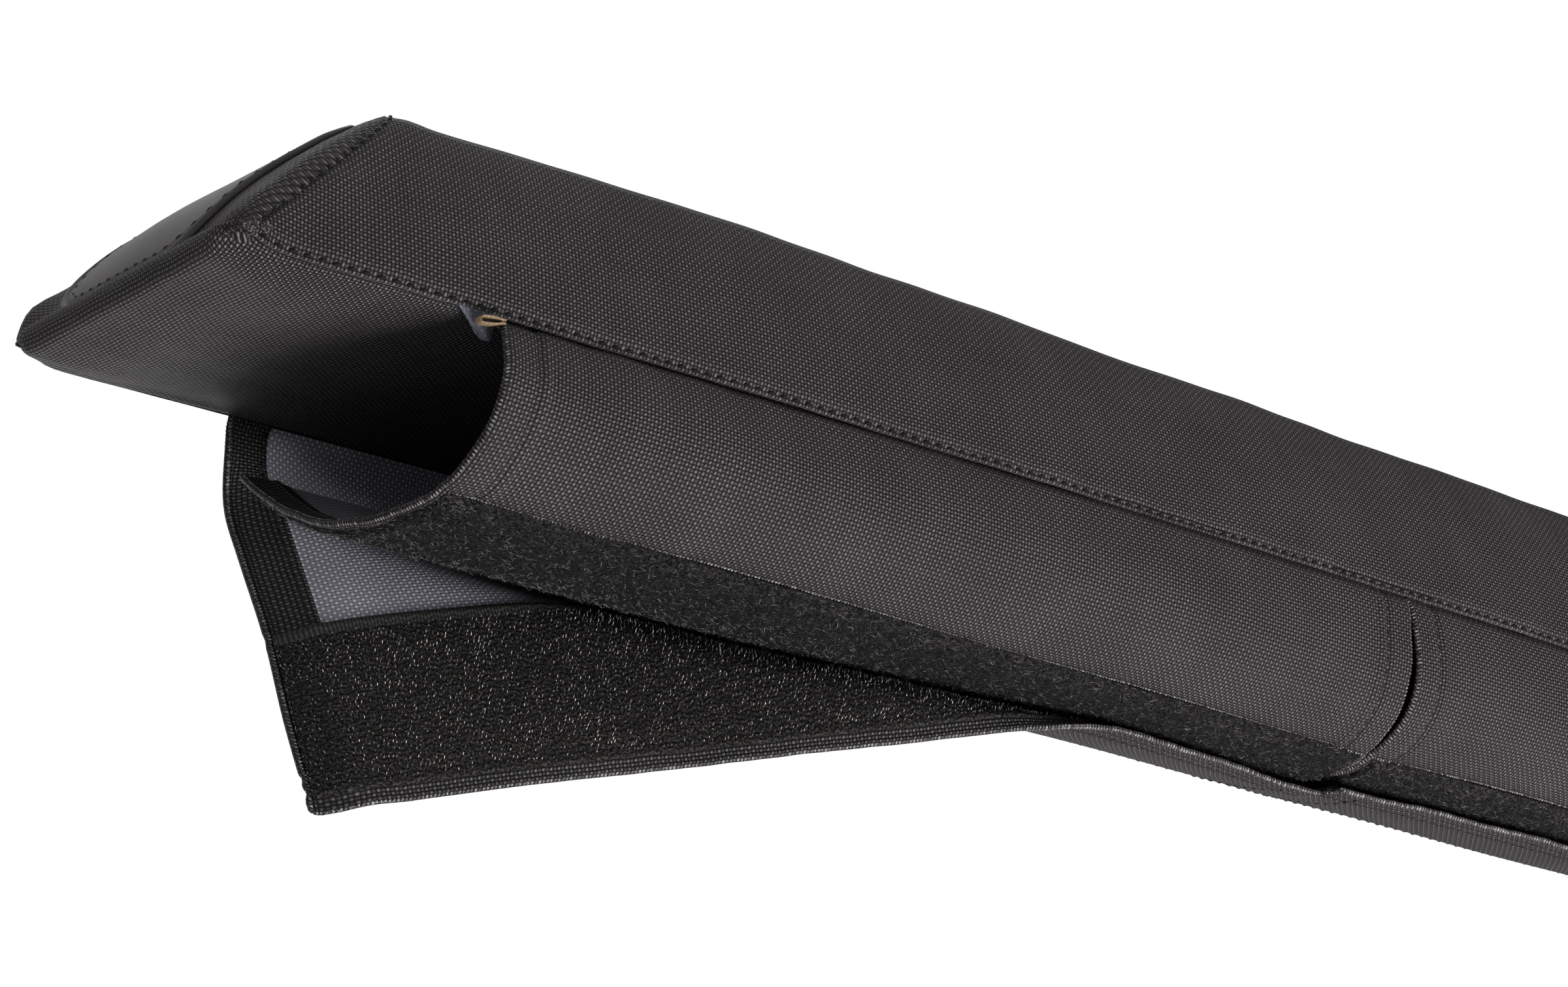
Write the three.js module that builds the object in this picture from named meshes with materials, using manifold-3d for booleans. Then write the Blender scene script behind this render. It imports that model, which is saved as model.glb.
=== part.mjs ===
// A padded roof bar cover: a foam block in woven fabric with bevelled ends,
// and under it a sleeve of two overlapping flaps that closes round a flat bar.
// Millimetres. X runs along the bar, Z points up to the load, and the origin is
// the middle of the flat underside. The -Y side is the near side of the bar.

import * as THREE from 'three';
import { mergeVertices } from 'three/addons/utils/BufferGeometryUtils.js';
import Module from 'manifold-3d';

const wasm = await Module();
wasm.setup();

// Padded block
const padLength = 760;
const padWidth = 126;
const topWidth = 86;
const padHeight = 50;
const bevelRun = 46;
const sideCrown = 2.5;
const topCrown = 2;
const endCrown = 1.5;
const fabric = 1;
const clearance = 0.3;

// Rubber patch on each bevelled end
const patchThickness = 1.2;
const patchFootBorder = 25;
const patchSideBorder = 6.5;
const patchTopBorder = 5;
const patchCorner = 14;

// Near flap, the one that carries the loop strip
const nearFlapWidth = 156;
const nearFlapSetback = 73;
const nearFlapStart = padLength / 2 - nearFlapSetback;
const nearEdgeSlant = 11;
const slantReach = 100;
const hemWidth = 12;
const slitHalfGap = 0.5;
const slitBow = 1.6;
const slitBowLength = 60;
const slitBowReach = 60;

// Far flap, the one that carries the hook strip and closes over the near flap
const farFlapWidth = 126;
const farFlapSetback = 64;
const farFlapStart = padLength / 2 - farFlapSetback;
const peelLength = 244;
const peelTurn = 16;
const peelPower = 0.45;
const peelShear = 14;

// Hook and loop strips
const loopWidth = 100;
const loopEdge = 3;
const loopPile = 1.7;
const hookWidth = 50;
const hookEdge = 3.5;
const hookPile = 1.2;
const stripEndInset = 1;

// Raw seam allowance and folded tape at the start of each near flap
const tabWidth = 11;
const tabDrop = 9;
const tapeWidth = 4;
const tapeLoop = 7;
const tapeThickness = 0.5;
const tapeFold = 1.5;

// Direction of the hanging cloth at shares of its width from its seam, in degrees
// from straight down towards the middle of the bar, each row for one state
const nearStations = [0, 0.1, 0.15, 0.21, 0.27, 0.33, 0.42, 0.53, 0.61, 0.69, 0.79, 0.88, 1];
const nearAtEnd = [-32, -24, 5, 36, 46, 68, 86, 93, 98, 108, 112, 117, 122];
const nearAtSlit = [-14, -8, 2, 26, 50, 63, 84, 100, 104, 108, 111, 114, 118];
const peeledStations = [0, 0.11, 0.17, 0.25, 0.47, 0.7, 0.83, 1];
const peeledAngles = [0, -3, 9, 35, 35, 26, 25, 16];
const farSeamBulge = 16;
const tipRunIn = 14;

// Length of a step of cloth, and how far cutting solids pass the block
const walkStep = 2;
const past = 1.2;
const radians = THREE.MathUtils.degToRad;

function material(color, roughness) {
  return new THREE.MeshStandardMaterial({ color, roughness, metalness: 0 });
}

const coverFabric = material(0x2c2a2b, 0.85);
const foamBlock = material(0x3a3a3c, 0.95);
const rubberSheet = material(0x343234, 0.55);
const loopFabric = material(0x1b1a1a, 0.98);
const hookTape = material(0x161515, 0.8);
const coatedCloth = material(0x6c6c7a, 0.6);
const tanTape = material(0xa07c50, 0.8);

// Outlines of the padded block

function crownedEdge(from, to, crown, steps) {
  const middle = from.clone().add(to).multiplyScalar(0.5);
  const along = to.clone().sub(from).normalize();
  const outward = new THREE.Vector2(along.y, -along.x);
  const control = middle.addScaledVector(outward, 2 * crown);
  return new THREE.QuadraticBezierCurve(from, control, to).getPoints(steps).slice(0, -1);
}

function insetOutline(points, distance) {
  const count = points.length;
  return points.map((point, i) => {
    const before = point.clone().sub(points[(i + count - 1) % count]).normalize();
    const after = points[(i + 1) % count].clone().sub(point).normalize();
    const normalA = new THREE.Vector2(-before.y, before.x);
    const normalB = new THREE.Vector2(-after.y, after.x);
    const bisector = normalA.clone().add(normalB).normalize();
    return point.clone().addScaledVector(bisector, distance / bisector.dot(normalA));
  });
}

function crossSection(inset) {
  const half = padWidth / 2;
  const shoulder = topWidth / 2;
  const corners = [
    new THREE.Vector2(-half, 0),
    new THREE.Vector2(half, 0),
    new THREE.Vector2(shoulder, padHeight),
    new THREE.Vector2(-shoulder, padHeight),
  ];
  const outline = [
    corners[0],
    ...crownedEdge(corners[1], corners[2], sideCrown, 6),
    ...crownedEdge(corners[2], corners[3], topCrown, 6),
    ...crownedEdge(corners[3], corners[0], sideCrown, 6),
  ];
  return insetOutline(outline, inset);
}

function sideProfile(inset) {
  const half = padLength / 2;
  const aboveTop = 1.3;
  const reach = bevelRun * aboveTop;
  const rightTop = new THREE.Vector2(half - reach, padHeight * aboveTop);
  const leftTop = new THREE.Vector2(reach - half, padHeight * aboveTop);
  const outline = [
    new THREE.Vector2(-half, 0),
    ...crownedEdge(new THREE.Vector2(half, 0), rightTop, endCrown, 8),
    rightTop,
    ...crownedEdge(leftTop, new THREE.Vector2(-half, 0), endCrown, 8),
  ];
  return insetOutline(outline, inset);
}

// Solids by extrusion and boolean

function toManifold(geometry) {
  const bare = geometry.clone();
  bare.deleteAttribute('normal');
  bare.deleteAttribute('uv');
  const merged = mergeVertices(bare, 1e-4);
  const mesh = new wasm.Mesh({
    numProp: 3,
    vertProperties: new Float32Array(merged.attributes.position.array),
    triVerts: new Uint32Array(merged.index.array),
  });
  return new wasm.Manifold(mesh);
}

function toGeometry(solid) {
  const mesh = solid.getMesh();
  const geometry = new THREE.BufferGeometry();
  geometry.setAttribute('position', new THREE.Float32BufferAttribute(mesh.vertProperties, 3));
  geometry.setIndex(Array.from(mesh.triVerts));
  geometry.computeVertexNormals();
  return geometry;
}

function prism(points, depth, across, up, along) {
  const geometry = new THREE.ExtrudeGeometry(new THREE.Shape(points), { depth, bevelEnabled: false });
  geometry.translate(0, 0, -depth / 2);
  geometry.applyMatrix4(new THREE.Matrix4().makeBasis(across, up, along));
  return toManifold(geometry);
}

const axisX = new THREE.Vector3(1, 0, 0);
const axisY = new THREE.Vector3(0, 1, 0);
const axisZ = new THREE.Vector3(0, 0, 1);

function sectionAlongBar(inset) {
  return prism(crossSection(inset), padLength * past, axisY, axisZ, axisX);
}

function profileAcrossBar(inset) {
  return prism(sideProfile(inset), padWidth * past, axisX, axisZ, axisY.clone().negate());
}

function slab(bottom, top) {
  const geometry = new THREE.BoxGeometry(padLength * past, padWidth * past, top - bottom);
  geometry.translate(0, 0, (top + bottom) / 2);
  return toManifold(geometry);
}

const skin = fabric + clearance;

// Half the width between the wrap's two lips, which turn in under the block
const lipGap = padWidth / 2 - 2 * fabric;

function foamCore() {
  const block = sectionAlongBar(skin).intersect(profileAcrossBar(skin));
  return block.intersect(slab(skin, padHeight * 2));
}

function coverWrap() {
  const openBelow = toManifold(new THREE.BoxGeometry(padLength * past, 2 * lipGap, 4 * fabric));
  const band = sectionAlongBar(0).subtract(sectionAlongBar(fabric)).subtract(openBelow);
  return band.intersect(profileAcrossBar(0));
}

function basePanel() {
  const width = 2 * (lipGap - clearance);
  const panel = new THREE.BoxGeometry(padLength - 2 * fabric, width, fabric);
  panel.translate(0, 0, fabric / 2);
  return toManifold(panel);
}

function endHalf(side) {
  const geometry = new THREE.BoxGeometry(padLength, padWidth * 2, padHeight * 4);
  geometry.translate((side * padLength) / 2, 0, 0);
  return toManifold(geometry);
}

function endPanel(side) {
  const shell = profileAcrossBar(0).subtract(profileAcrossBar(fabric));
  const inside = sectionAlongBar(skin).intersect(slab(skin, padHeight * 2));
  return shell.intersect(inside).intersect(endHalf(side));
}

function patchOutline() {
  const low = padWidth / 2 - patchFootBorder;
  const high = topWidth / 2 - patchSideBorder;
  const top = padHeight - patchTopBorder;
  const foot = clearance;
  const lean = (patchCorner * (low - high)) / (top - foot);
  const shape = new THREE.Shape();
  shape.moveTo(-low + patchCorner, foot);
  shape.lineTo(low - patchCorner, foot);
  shape.quadraticCurveTo(low, foot, low - lean, foot + patchCorner);
  shape.lineTo(high, top - patchCorner / 2);
  shape.quadraticCurveTo(high, top, high - patchCorner / 2, top);
  shape.lineTo(-high + patchCorner / 2, top);
  shape.quadraticCurveTo(-high, top, -high, top - patchCorner / 2);
  shape.lineTo(-low + lean, foot + patchCorner);
  shape.quadraticCurveTo(-low, foot, -low + patchCorner, foot);
  return shape.getPoints(5);
}

function endPatch(side) {
  const outer = profileAcrossBar(-clearance - patchThickness);
  const sheet = outer.subtract(profileAcrossBar(-clearance));
  const stencil = prism(patchOutline(), padLength * past, axisY, axisZ, axisX);
  return sheet.intersect(stencil).intersect(endHalf(side));
}

// Cloth as walks: a section starts at its seam and turns as the angles say

function angleAt(stations, angles, distance) {
  let i = 0;
  while (i < stations.length - 2 && stations[i + 1] < distance) i += 1;
  const span = stations[i + 1] - stations[i];
  const share = THREE.MathUtils.clamp((distance - stations[i]) / span, 0, 1);
  return THREE.MathUtils.lerp(angles[i], angles[i + 1], share);
}

// side is +1 where the cloth turns towards +Y, and -1 where it turns to -Y
function walk(start, side, length, angleOf) {
  const steps = Math.ceil(length / walkStep);
  const stride = length / steps;
  const path = [start.clone()];
  for (let i = 0; i < steps; i += 1) {
    const angle = radians(angleOf((i + 0.5) * stride));
    const move = new THREE.Vector2(side * Math.sin(angle), -Math.cos(angle));
    path.push(path[i].clone().addScaledVector(move, stride));
  }
  return { path, stride, side };
}

function pointOn(run, distance, outward) {
  const last = run.path.length - 1;
  const place = THREE.MathUtils.clamp(distance / run.stride, 0, last);
  const i = Math.min(Math.floor(place), last - 1);
  const point = run.path[i].clone().lerp(run.path[i + 1], place - i);
  const before = run.path[Math.max(i - 1, 0)];
  const after = run.path[Math.min(i + 2, last)];
  const along = after.clone().sub(before).normalize();
  const normal = new THREE.Vector2(along.y, -along.x).multiplyScalar(run.side);
  return point.addScaledVector(normal, outward);
}

function remembered(make) {
  const known = new Map();
  return (key) => {
    if (!known.has(key)) known.set(key, make(key));
    return known.get(key);
  };
}

function seamDrop(angle) {
  return clearance + 2 * fabric * Math.abs(Math.sin(radians(angle)));
}

const nearRun = remembered((x) => {
  const share = THREE.MathUtils.clamp(Math.abs(x) / nearFlapStart, 0, 1);
  const lean = THREE.MathUtils.lerp(nearAtSlit[0], nearAtEnd[0], share);
  const start = new THREE.Vector2(-padWidth / 2, -seamDrop(lean));
  return walk(start, 1, nearFlapWidth, (distance) => {
    const slit = angleAt(nearStations, nearAtSlit, distance / nearFlapWidth);
    const end = angleAt(nearStations, nearAtEnd, distance / nearFlapWidth);
    return THREE.MathUtils.lerp(slit, end, share);
  });
});

// Space between the outer faces of the two flaps where they are fastened
const fastenedStack = loopPile + hookPile + 2 * fabric + 3 * clearance;

// The closed far flap leaves its seam, passes the near flap's free edge and
// follows the near flap at the thickness of the fastened stack
const closedAngles = remembered((x) => {
  const near = nearRun(x);
  const start = new THREE.Vector2(padWidth / 2, -seamDrop(0));
  const tip = pointOn(near, nearFlapWidth, fastenedStack);
  const before = pointOn(near, nearFlapWidth - tipRunIn, fastenedStack);
  const runIn = tip.clone().sub(before).setLength(tipRunIn);
  const drop = new THREE.CubicBezierCurve(
    start,
    start.clone().add(new THREE.Vector2(farSeamBulge / 4, -farSeamBulge)),
    tip.clone().add(runIn),
    tip,
  );
  const points = drop.getSpacedPoints(12);
  for (let back = walkStep; back < nearFlapWidth; back += walkStep) {
    points.push(pointOn(near, nearFlapWidth - back, fastenedStack));
  }
  const stations = [];
  const angles = [];
  let travelled = 0;
  for (let i = 0; i < points.length - 1; i += 1) {
    const move = points[i + 1].clone().sub(points[i]);
    stations.push(travelled + move.length() / 2);
    angles.push(THREE.MathUtils.radToDeg(Math.atan2(-move.x, -move.y)));
    travelled += move.length();
  }
  return { stations, angles };
});

// The corner of the flap is peeled open: cloth past the peel's front hangs, and
// the front crosses the flap from its free edge to its seam at the outer end
function shutShare(x) {
  return THREE.MathUtils.clamp((x + farFlapStart) / peelLength, 0, 1);
}

function peelFront(x) {
  return (farFlapWidth + peelTurn) * shutShare(x) ** peelPower - peelTurn;
}

const farRun = remembered((x) => {
  const closed = closedAngles(x);
  const front = peelFront(x);
  const start = new THREE.Vector2(padWidth / 2, -seamDrop(0));
  return walk(start, -1, farFlapWidth, (distance) => {
    const shut = angleAt(closed.stations, closed.angles, distance);
    const open = angleAt(peeledStations, peeledAngles, distance / farFlapWidth);
    const peel = THREE.MathUtils.smoothstep(distance, front, front + peelTurn);
    return THREE.MathUtils.lerp(shut, open, peel);
  });
});

// Closed shells over a grid of cloth points

function shell(columns, rows, outerAt, innerAt) {
  const positions = [];
  const faces = [];
  const across = rows.length;
  for (const pointAt of [outerAt, innerAt]) {
    for (const column of columns) {
      for (const row of rows) positions.push(...pointAt(column, row).toArray());
    }
  }
  const layer = columns.length * across;
  const at = (level, i, j) => level * layer + i * across + j;
  const quad = (a, b, c, d) => faces.push(a, b, c, a, c, d);
  for (let i = 0; i < columns.length - 1; i += 1) {
    for (let j = 0; j < across - 1; j += 1) {
      quad(at(0, i, j), at(0, i, j + 1), at(0, i + 1, j + 1), at(0, i + 1, j));
      quad(at(1, i, j), at(1, i + 1, j), at(1, i + 1, j + 1), at(1, i, j + 1));
    }
    quad(at(0, i, 0), at(0, i + 1, 0), at(1, i + 1, 0), at(1, i, 0));
    const end = across - 1;
    quad(at(0, i, end), at(1, i, end), at(1, i + 1, end), at(0, i + 1, end));
  }
  const last = columns.length - 1;
  for (let j = 0; j < across - 1; j += 1) {
    quad(at(0, 0, j), at(1, 0, j), at(1, 0, j + 1), at(0, 0, j + 1));
    quad(at(0, last, j), at(0, last, j + 1), at(1, last, j + 1), at(1, last, j));
  }
  const geometry = new THREE.BufferGeometry();
  geometry.setAttribute('position', new THREE.Float32BufferAttribute(positions, 3));
  geometry.setIndex(faces);
  return facingOut(geometry);
}

function signedVolume(geometry) {
  const position = geometry.attributes.position;
  const index = geometry.index;
  const [a, b, c] = [new THREE.Vector3(), new THREE.Vector3(), new THREE.Vector3()];
  let volume = 0;
  for (let i = 0; i < index.count; i += 3) {
    a.fromBufferAttribute(position, index.getX(i));
    b.fromBufferAttribute(position, index.getX(i + 1));
    c.fromBufferAttribute(position, index.getX(i + 2));
    volume += a.dot(b.cross(c)) / 6;
  }
  return volume;
}

function facingOut(geometry) {
  if (signedVolume(geometry) < 0) geometry.index.array.reverse();
  geometry.computeVertexNormals();
  return geometry;
}

function spread(from, to, count) {
  return Array.from({ length: count + 1 }, (_, i) => from + ((to - from) * i) / count);
}

// Columns along a flap, with a pair where each end hem steps down
function hemmedColumns(outer, count) {
  const inner = -slitHalfGap;
  const step = fabric;
  const body = spread(-outer + hemWidth + step, inner - hemWidth - step, count);
  return [-outer, -outer + hemWidth, ...body, inner - hemWidth, inner];
}

function clothThickness(x, outer) {
  const fromEnd = Math.min(outer - Math.abs(x), Math.abs(x) - slitHalfGap);
  return fromEnd < hemWidth + fabric / 2 ? 2 * fabric : fabric;
}

// Where a near flap point lies along the bar, with its slanted outer edge and
// the lens-shaped opening of the slit
function nearX(x, distance) {
  const endShare = Math.max(0, 1 - (nearFlapStart + x) / slantReach);
  const slant = nearEdgeSlant * Math.min(1, distance / slantReach) * endShare;
  const slitShare = Math.max(0, 1 + x / slitBowReach);
  const bow = slitBow * Math.sin(Math.PI * Math.min(1, distance / slitBowLength)) * slitShare;
  return x - slant - bow;
}

function nearPoint(x, distance, outward) {
  const place = pointOn(nearRun(x), distance, outward);
  return new THREE.Vector3(nearX(x, distance), place.x, place.y);
}

function farX(x, distance) {
  return x + (peelShear * (1 - shutShare(x)) * distance) / farFlapWidth;
}

function farPoint(x, distance, outward) {
  const place = pointOn(farRun(x), distance, outward);
  return new THREE.Vector3(farX(x, distance), place.x, place.y);
}

function nearFlap() {
  const columns = hemmedColumns(nearFlapStart, 9);
  return shell(
    columns,
    spread(0, nearFlapWidth, 18),
    (x, distance) => nearPoint(x, distance, 0),
    (x, distance) => nearPoint(x, distance, -clothThickness(x, nearFlapStart)),
  );
}

function loopStrip() {
  const columns = spread(-nearFlapStart + stripEndInset, -slitHalfGap - stripEndInset, 10);
  const from = nearFlapWidth - loopEdge - loopWidth;
  return shell(
    columns,
    spread(from, from + loopWidth, 12),
    (x, distance) => nearPoint(x, distance, clearance + loopPile),
    (x, distance) => nearPoint(x, distance, clearance),
  );
}

// A far flap is made on the left of the slit. placeAt gives its state: peeled
// open towards its end, or closed all along for the one that is mirrored. Its
// rows and columns include the hook strip's, so that the strip follows its facets
const hookTop = farFlapWidth - hookEdge - hookWidth;
const hookRows = spread(hookTop, hookTop + hookWidth, 8);

function hookColumns(count) {
  const body = hemmedColumns(farFlapStart, count).slice(1, -1);
  return [-farFlapStart + stripEndInset, ...body, -slitHalfGap - stripEndInset];
}

function farFlap(placeAt, count) {
  return shell(
    [-farFlapStart, ...hookColumns(count), -slitHalfGap],
    [...spread(0, hookTop, 12).slice(0, -1), ...hookRows, farFlapWidth],
    (x, distance) => placeAt(x, distance, 0),
    (x, distance) => placeAt(x, distance, -clothThickness(x, farFlapStart)),
  );
}

function hookStrip(placeAt, count) {
  const lift = (x) => clothThickness(x, farFlapStart) + clearance;
  return shell(
    hookColumns(count),
    hookRows,
    (x, distance) => placeAt(x, distance, -lift(x)),
    (x, distance) => placeAt(x, distance, -lift(x) - hookPile),
  );
}

function closedPoint(x, distance, outward) {
  const closed = closedAngles(x);
  const start = new THREE.Vector2(padWidth / 2, -seamDrop(0));
  const run = walk(start, -1, farFlapWidth, (s) => angleAt(closed.stations, closed.angles, s));
  const place = pointOn(run, distance, outward);
  return new THREE.Vector3(x, place.x, place.y);
}

// Where a piece that hangs beside the near flap's slanted end edge begins
function besideFlap(depth) {
  return -nearFlapStart - clearance - (nearEdgeSlant * depth) / slantReach;
}

// Seam allowance: a raw triangular end of cloth beside the near flap's seam
function seamTab() {
  const outline = new THREE.Shape();
  outline.moveTo(0, 0);
  outline.lineTo(-tabWidth, 0);
  outline.lineTo(-tabWidth * 0.45, -tabDrop);
  outline.lineTo(0, -tabDrop * 0.75);
  const geometry = new THREE.ExtrudeGeometry(outline, { depth: fabric, bevelEnabled: false });
  geometry.applyMatrix4(new THREE.Matrix4().makeBasis(axisX, axisZ, axisY.clone().negate()));
  geometry.translate(besideFlap(tabDrop), -lipGap - clearance, -clearance);
  return toGeometry(toManifold(geometry));
}

// Folded tape: a narrow strip doubled back on itself, open at the flap's end
function seamTape() {
  const radius = tapeFold / 2 + tapeThickness;
  const inner = tapeFold / 2;
  const shape = new THREE.Shape();
  shape.moveTo(0, radius);
  shape.lineTo(-tapeLoop + radius, radius);
  shape.absarc(-tapeLoop + radius, 0, radius, Math.PI / 2, 1.5 * Math.PI, false);
  shape.lineTo(0, -radius);
  shape.lineTo(0, -inner);
  shape.lineTo(-tapeLoop + radius, -inner);
  shape.absarc(-tapeLoop + radius, 0, inner, 1.5 * Math.PI, Math.PI / 2, true);
  shape.lineTo(0, inner);
  const geometry = new THREE.ExtrudeGeometry(shape, {
    depth: tapeWidth,
    bevelEnabled: false,
    curveSegments: 6,
  });
  const y = -lipGap - fabric - 2 * clearance - radius;
  geometry.translate(besideFlap(tapeWidth), y, -clearance - tapeWidth);
  return toGeometry(toManifold(geometry));
}

function mirrored(geometry) {
  const copy = geometry.clone();
  copy.scale(-1, 1, 1);
  return facingOut(copy);
}

// The assembly

const pad = new THREE.Group();

function addPiece(name, geometry, finish) {
  const piece = new THREE.Mesh(geometry, finish);
  piece.name = name;
  pad.add(piece);
}

addPiece('foam_core', toGeometry(foamCore()), foamBlock);
addPiece('cover_wrap', toGeometry(coverWrap()), coverFabric);
addPiece('base_panel', toGeometry(basePanel()), coverFabric);

for (const [label, side] of [['left', -1], ['right', 1]]) {
  const placed = (geometry) => (side < 0 ? geometry : mirrored(geometry));
  addPiece(`end_panel_${label}`, toGeometry(endPanel(side)), coverFabric);
  addPiece(`end_patch_${label}`, toGeometry(endPatch(side)), rubberSheet);
  addPiece(`near_flap_${label}`, placed(nearFlap()), coverFabric);
  addPiece(`loop_strip_${label}`, placed(loopStrip()), loopFabric);
  const farPlace = side < 0 ? farPoint : closedPoint;
  const farColumns = side < 0 ? 18 : 6;
  addPiece(`far_flap_${label}`, placed(farFlap(farPlace, farColumns)), coatedCloth);
  addPiece(`hook_strip_${label}`, placed(hookStrip(farPlace, farColumns)), hookTape);
  addPiece(`seam_tab_${label}`, placed(seamTab()), coatedCloth);
  addPiece(`seam_tape_${label}`, placed(seamTape()), tanTape);
}

export default pad;
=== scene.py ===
"""Looks of the padded roof bar cover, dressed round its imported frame.

All lengths here are millimetres until a mesh is made. X runs along the bar, Z is
up, and -Y is the near side. `s` is always a distance along cloth from its seam.
"""

import math

import bpy
import numpy as np
from mathutils import Matrix, Vector


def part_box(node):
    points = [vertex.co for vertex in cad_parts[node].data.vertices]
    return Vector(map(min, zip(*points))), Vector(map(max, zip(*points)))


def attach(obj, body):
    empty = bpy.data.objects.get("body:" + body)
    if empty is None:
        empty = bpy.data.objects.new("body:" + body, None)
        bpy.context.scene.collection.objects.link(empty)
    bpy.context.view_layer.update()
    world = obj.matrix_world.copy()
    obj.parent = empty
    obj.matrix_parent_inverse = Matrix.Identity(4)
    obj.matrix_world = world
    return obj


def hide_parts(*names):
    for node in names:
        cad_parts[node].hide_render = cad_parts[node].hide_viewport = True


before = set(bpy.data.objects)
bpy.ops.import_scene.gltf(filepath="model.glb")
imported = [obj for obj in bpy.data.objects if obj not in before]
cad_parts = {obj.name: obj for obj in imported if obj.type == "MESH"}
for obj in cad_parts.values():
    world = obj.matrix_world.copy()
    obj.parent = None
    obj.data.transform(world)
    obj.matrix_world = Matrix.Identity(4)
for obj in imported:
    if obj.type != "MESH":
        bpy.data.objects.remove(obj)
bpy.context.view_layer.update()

MM = 0.001
random = np.random.default_rng(11)


def box_of(node):
    """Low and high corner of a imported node, in millimetres."""
    return [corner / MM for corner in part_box(node)]


# Padded block, read from the frame
wrap_high = box_of("cover_wrap")[1]
half_length = wrap_high.x
half_width = wrap_high.y
TOP_CROWN = 2.0
SIDE_CROWN = 2.5
pad_height = wrap_high.z - TOP_CROWN
BEVEL_RUN = 46.0
slope_length = math.hypot(pad_height, BEVEL_RUN)
half_top = 43.0
SHOULDER_BLEND = 5.0
SHOULDER_REACH = 6.0
TOP_SWELL = 2.2
SWELL_MIDDLE = 215.0
SWELL_LENGTH = 115.0
BOW = 4.0
FABRIC = 1.0
SEAM_TUCK = 1.5
SEAM_REACH = 1.7
END_BULGE = 6.4
PATCH_FOOT = 0.61
PATCH_TOP = 0.86
PATCH_LOW = 0.035
PATCH_HIGH = 0.89
PATCH_RADII = [0.24, 0.24, 0.07, 0.07]
CORNER_PULL = 3.0
CORNER_REACH = 8.0
CORNER_LIFT = 3.2
ROLL_RADIUS = 3.8
ROLL_TURN = 130.0
ROLL_CENTRE = (2.6, 1.6)
CORNER_FADE = 7.0
CORNER_SLANT = 3.2
SAG = 1.2
SAG_AT_END = 3.2
SAG_REACH = 75.0
CORNER_SWELL = 3.2
SWELL_PLACE = (0.9, 0.14)
SWELL_REACH = 9.5

# Near flap and its loop strip
NEAR_WIDTH = 156.0
NEAR_SLANT = 11.0
near_start = box_of("near_flap_right")[1].x - NEAR_SLANT
SLANT_REACH = 100.0
LOOP_WIDTH = 100.0
LOOP_EDGE = 3.0
LOOP_RISE = 1.9
LOOP_CURLS = 7000
LOOP_FUZZ = 22000
HEM = 12.0

# Far flap and its hook strip
FAR_WIDTH = 126.0
FAR_EXTRA = 3.0
far_start = box_of("far_flap_right")[1].x
PEEL_LENGTH = 244.0
PEEL_TURN = 16.0
PEEL_POWER = 0.45
PEEL_SHEAR = 14.0
PEEL_BOW = 2.0
EDGE_DIP = 4.5
CORNER_DIP = 2.6
EDGE_WAVE = 0.55
HOOK_WIDTH = 50.0
HOOK_EDGE = 3.5
STACK = 5.8
FAR_BULGE = 16.0
RUN_IN = 14.0

# Slit at mid-length
SLIT_HALF = 0.5
SLIT_BOW = 1.6
SLIT_BOW_LENGTH = 60.0

# Directions of the hanging cloth by share of its width, in degrees from straight down
NEAR_AT = [0, 0.1, 0.15, 0.21, 0.27, 0.33, 0.42, 0.53, 0.61, 0.69, 0.79, 0.88, 1]
NEAR_AT_END = [-32, -24, 5, 36, 46, 68, 86, 93, 98, 108, 112, 117, 122]
NEAR_AT_SLIT = [-14, -8, 2, 26, 50, 63, 84, 100, 104, 108, 111, 114, 118]
PEELED_AT = [0, 0.11, 0.17, 0.25, 0.47, 0.7, 0.83, 1]
PEELED = [0, -3, 9, 35, 35, 26, 25, 16]

# Thread and weave
WEAVE_PITCH = 1.06
STITCH_STEP = 3.9
STITCH_LENGTH = 2.8
STITCH_RADIUS = 0.36
STITCH_SINK = 0.2
EDGE_THREAD = 0.42


# Small numeric helpers

def unit(vectors):
    """Vectors of length one."""
    length = np.linalg.norm(vectors, axis=-1, keepdims=True)
    return vectors / np.maximum(length, 1e-9)


def smooth(values, width, step):
    """A moving average over about width, with the ends held."""
    half = max(1, int(width / step / 2))
    kernel = np.ones(2 * half + 1) / (2 * half + 1)
    padded = np.concatenate([np.full(half, values[0]), values, np.full(half, values[-1])])
    return np.convolve(padded, kernel, "valid")


def ease(value):
    """Smooth step from 0 to 1."""
    share = np.clip(value, 0, 1)
    return share * share * (3 - 2 * share)


def bell(distance, reach):
    """A bump of height 1 that fades over reach."""
    return np.exp(-((distance / reach) ** 2))


def ripple(first, second, scale, seed):
    """Gentle unevenness from a few crossed waves, between about -1 and 1."""
    waves = np.random.default_rng(seed)
    total = 0.0
    for _ in range(6):
        angle = waves.uniform(0, math.pi)
        length = scale * waves.uniform(0.7, 1.6)
        phase = waves.uniform(0, 2 * math.pi)
        along = first * math.cos(angle) + second * math.sin(angle)
        total = total + np.sin(2 * math.pi * along / length + phase)
    return total / 3


def travelled_along(line):
    """Distance along a line of points, or along each column of a grid."""
    spans = np.linalg.norm(np.diff(line, axis=0), axis=-1)
    return np.concatenate([0 * spans[:1], np.cumsum(spans, axis=0)])


def crossed(first, second):
    """Two grids with the values of two lists, over all their pairs."""
    return np.meshgrid(first, second, indexing="ij")


def picked(places, travelled, values):
    """Rows of values, interpolated at places along a line."""
    return np.stack([np.interp(places, travelled, column) for column in values.T], axis=-1)


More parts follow.
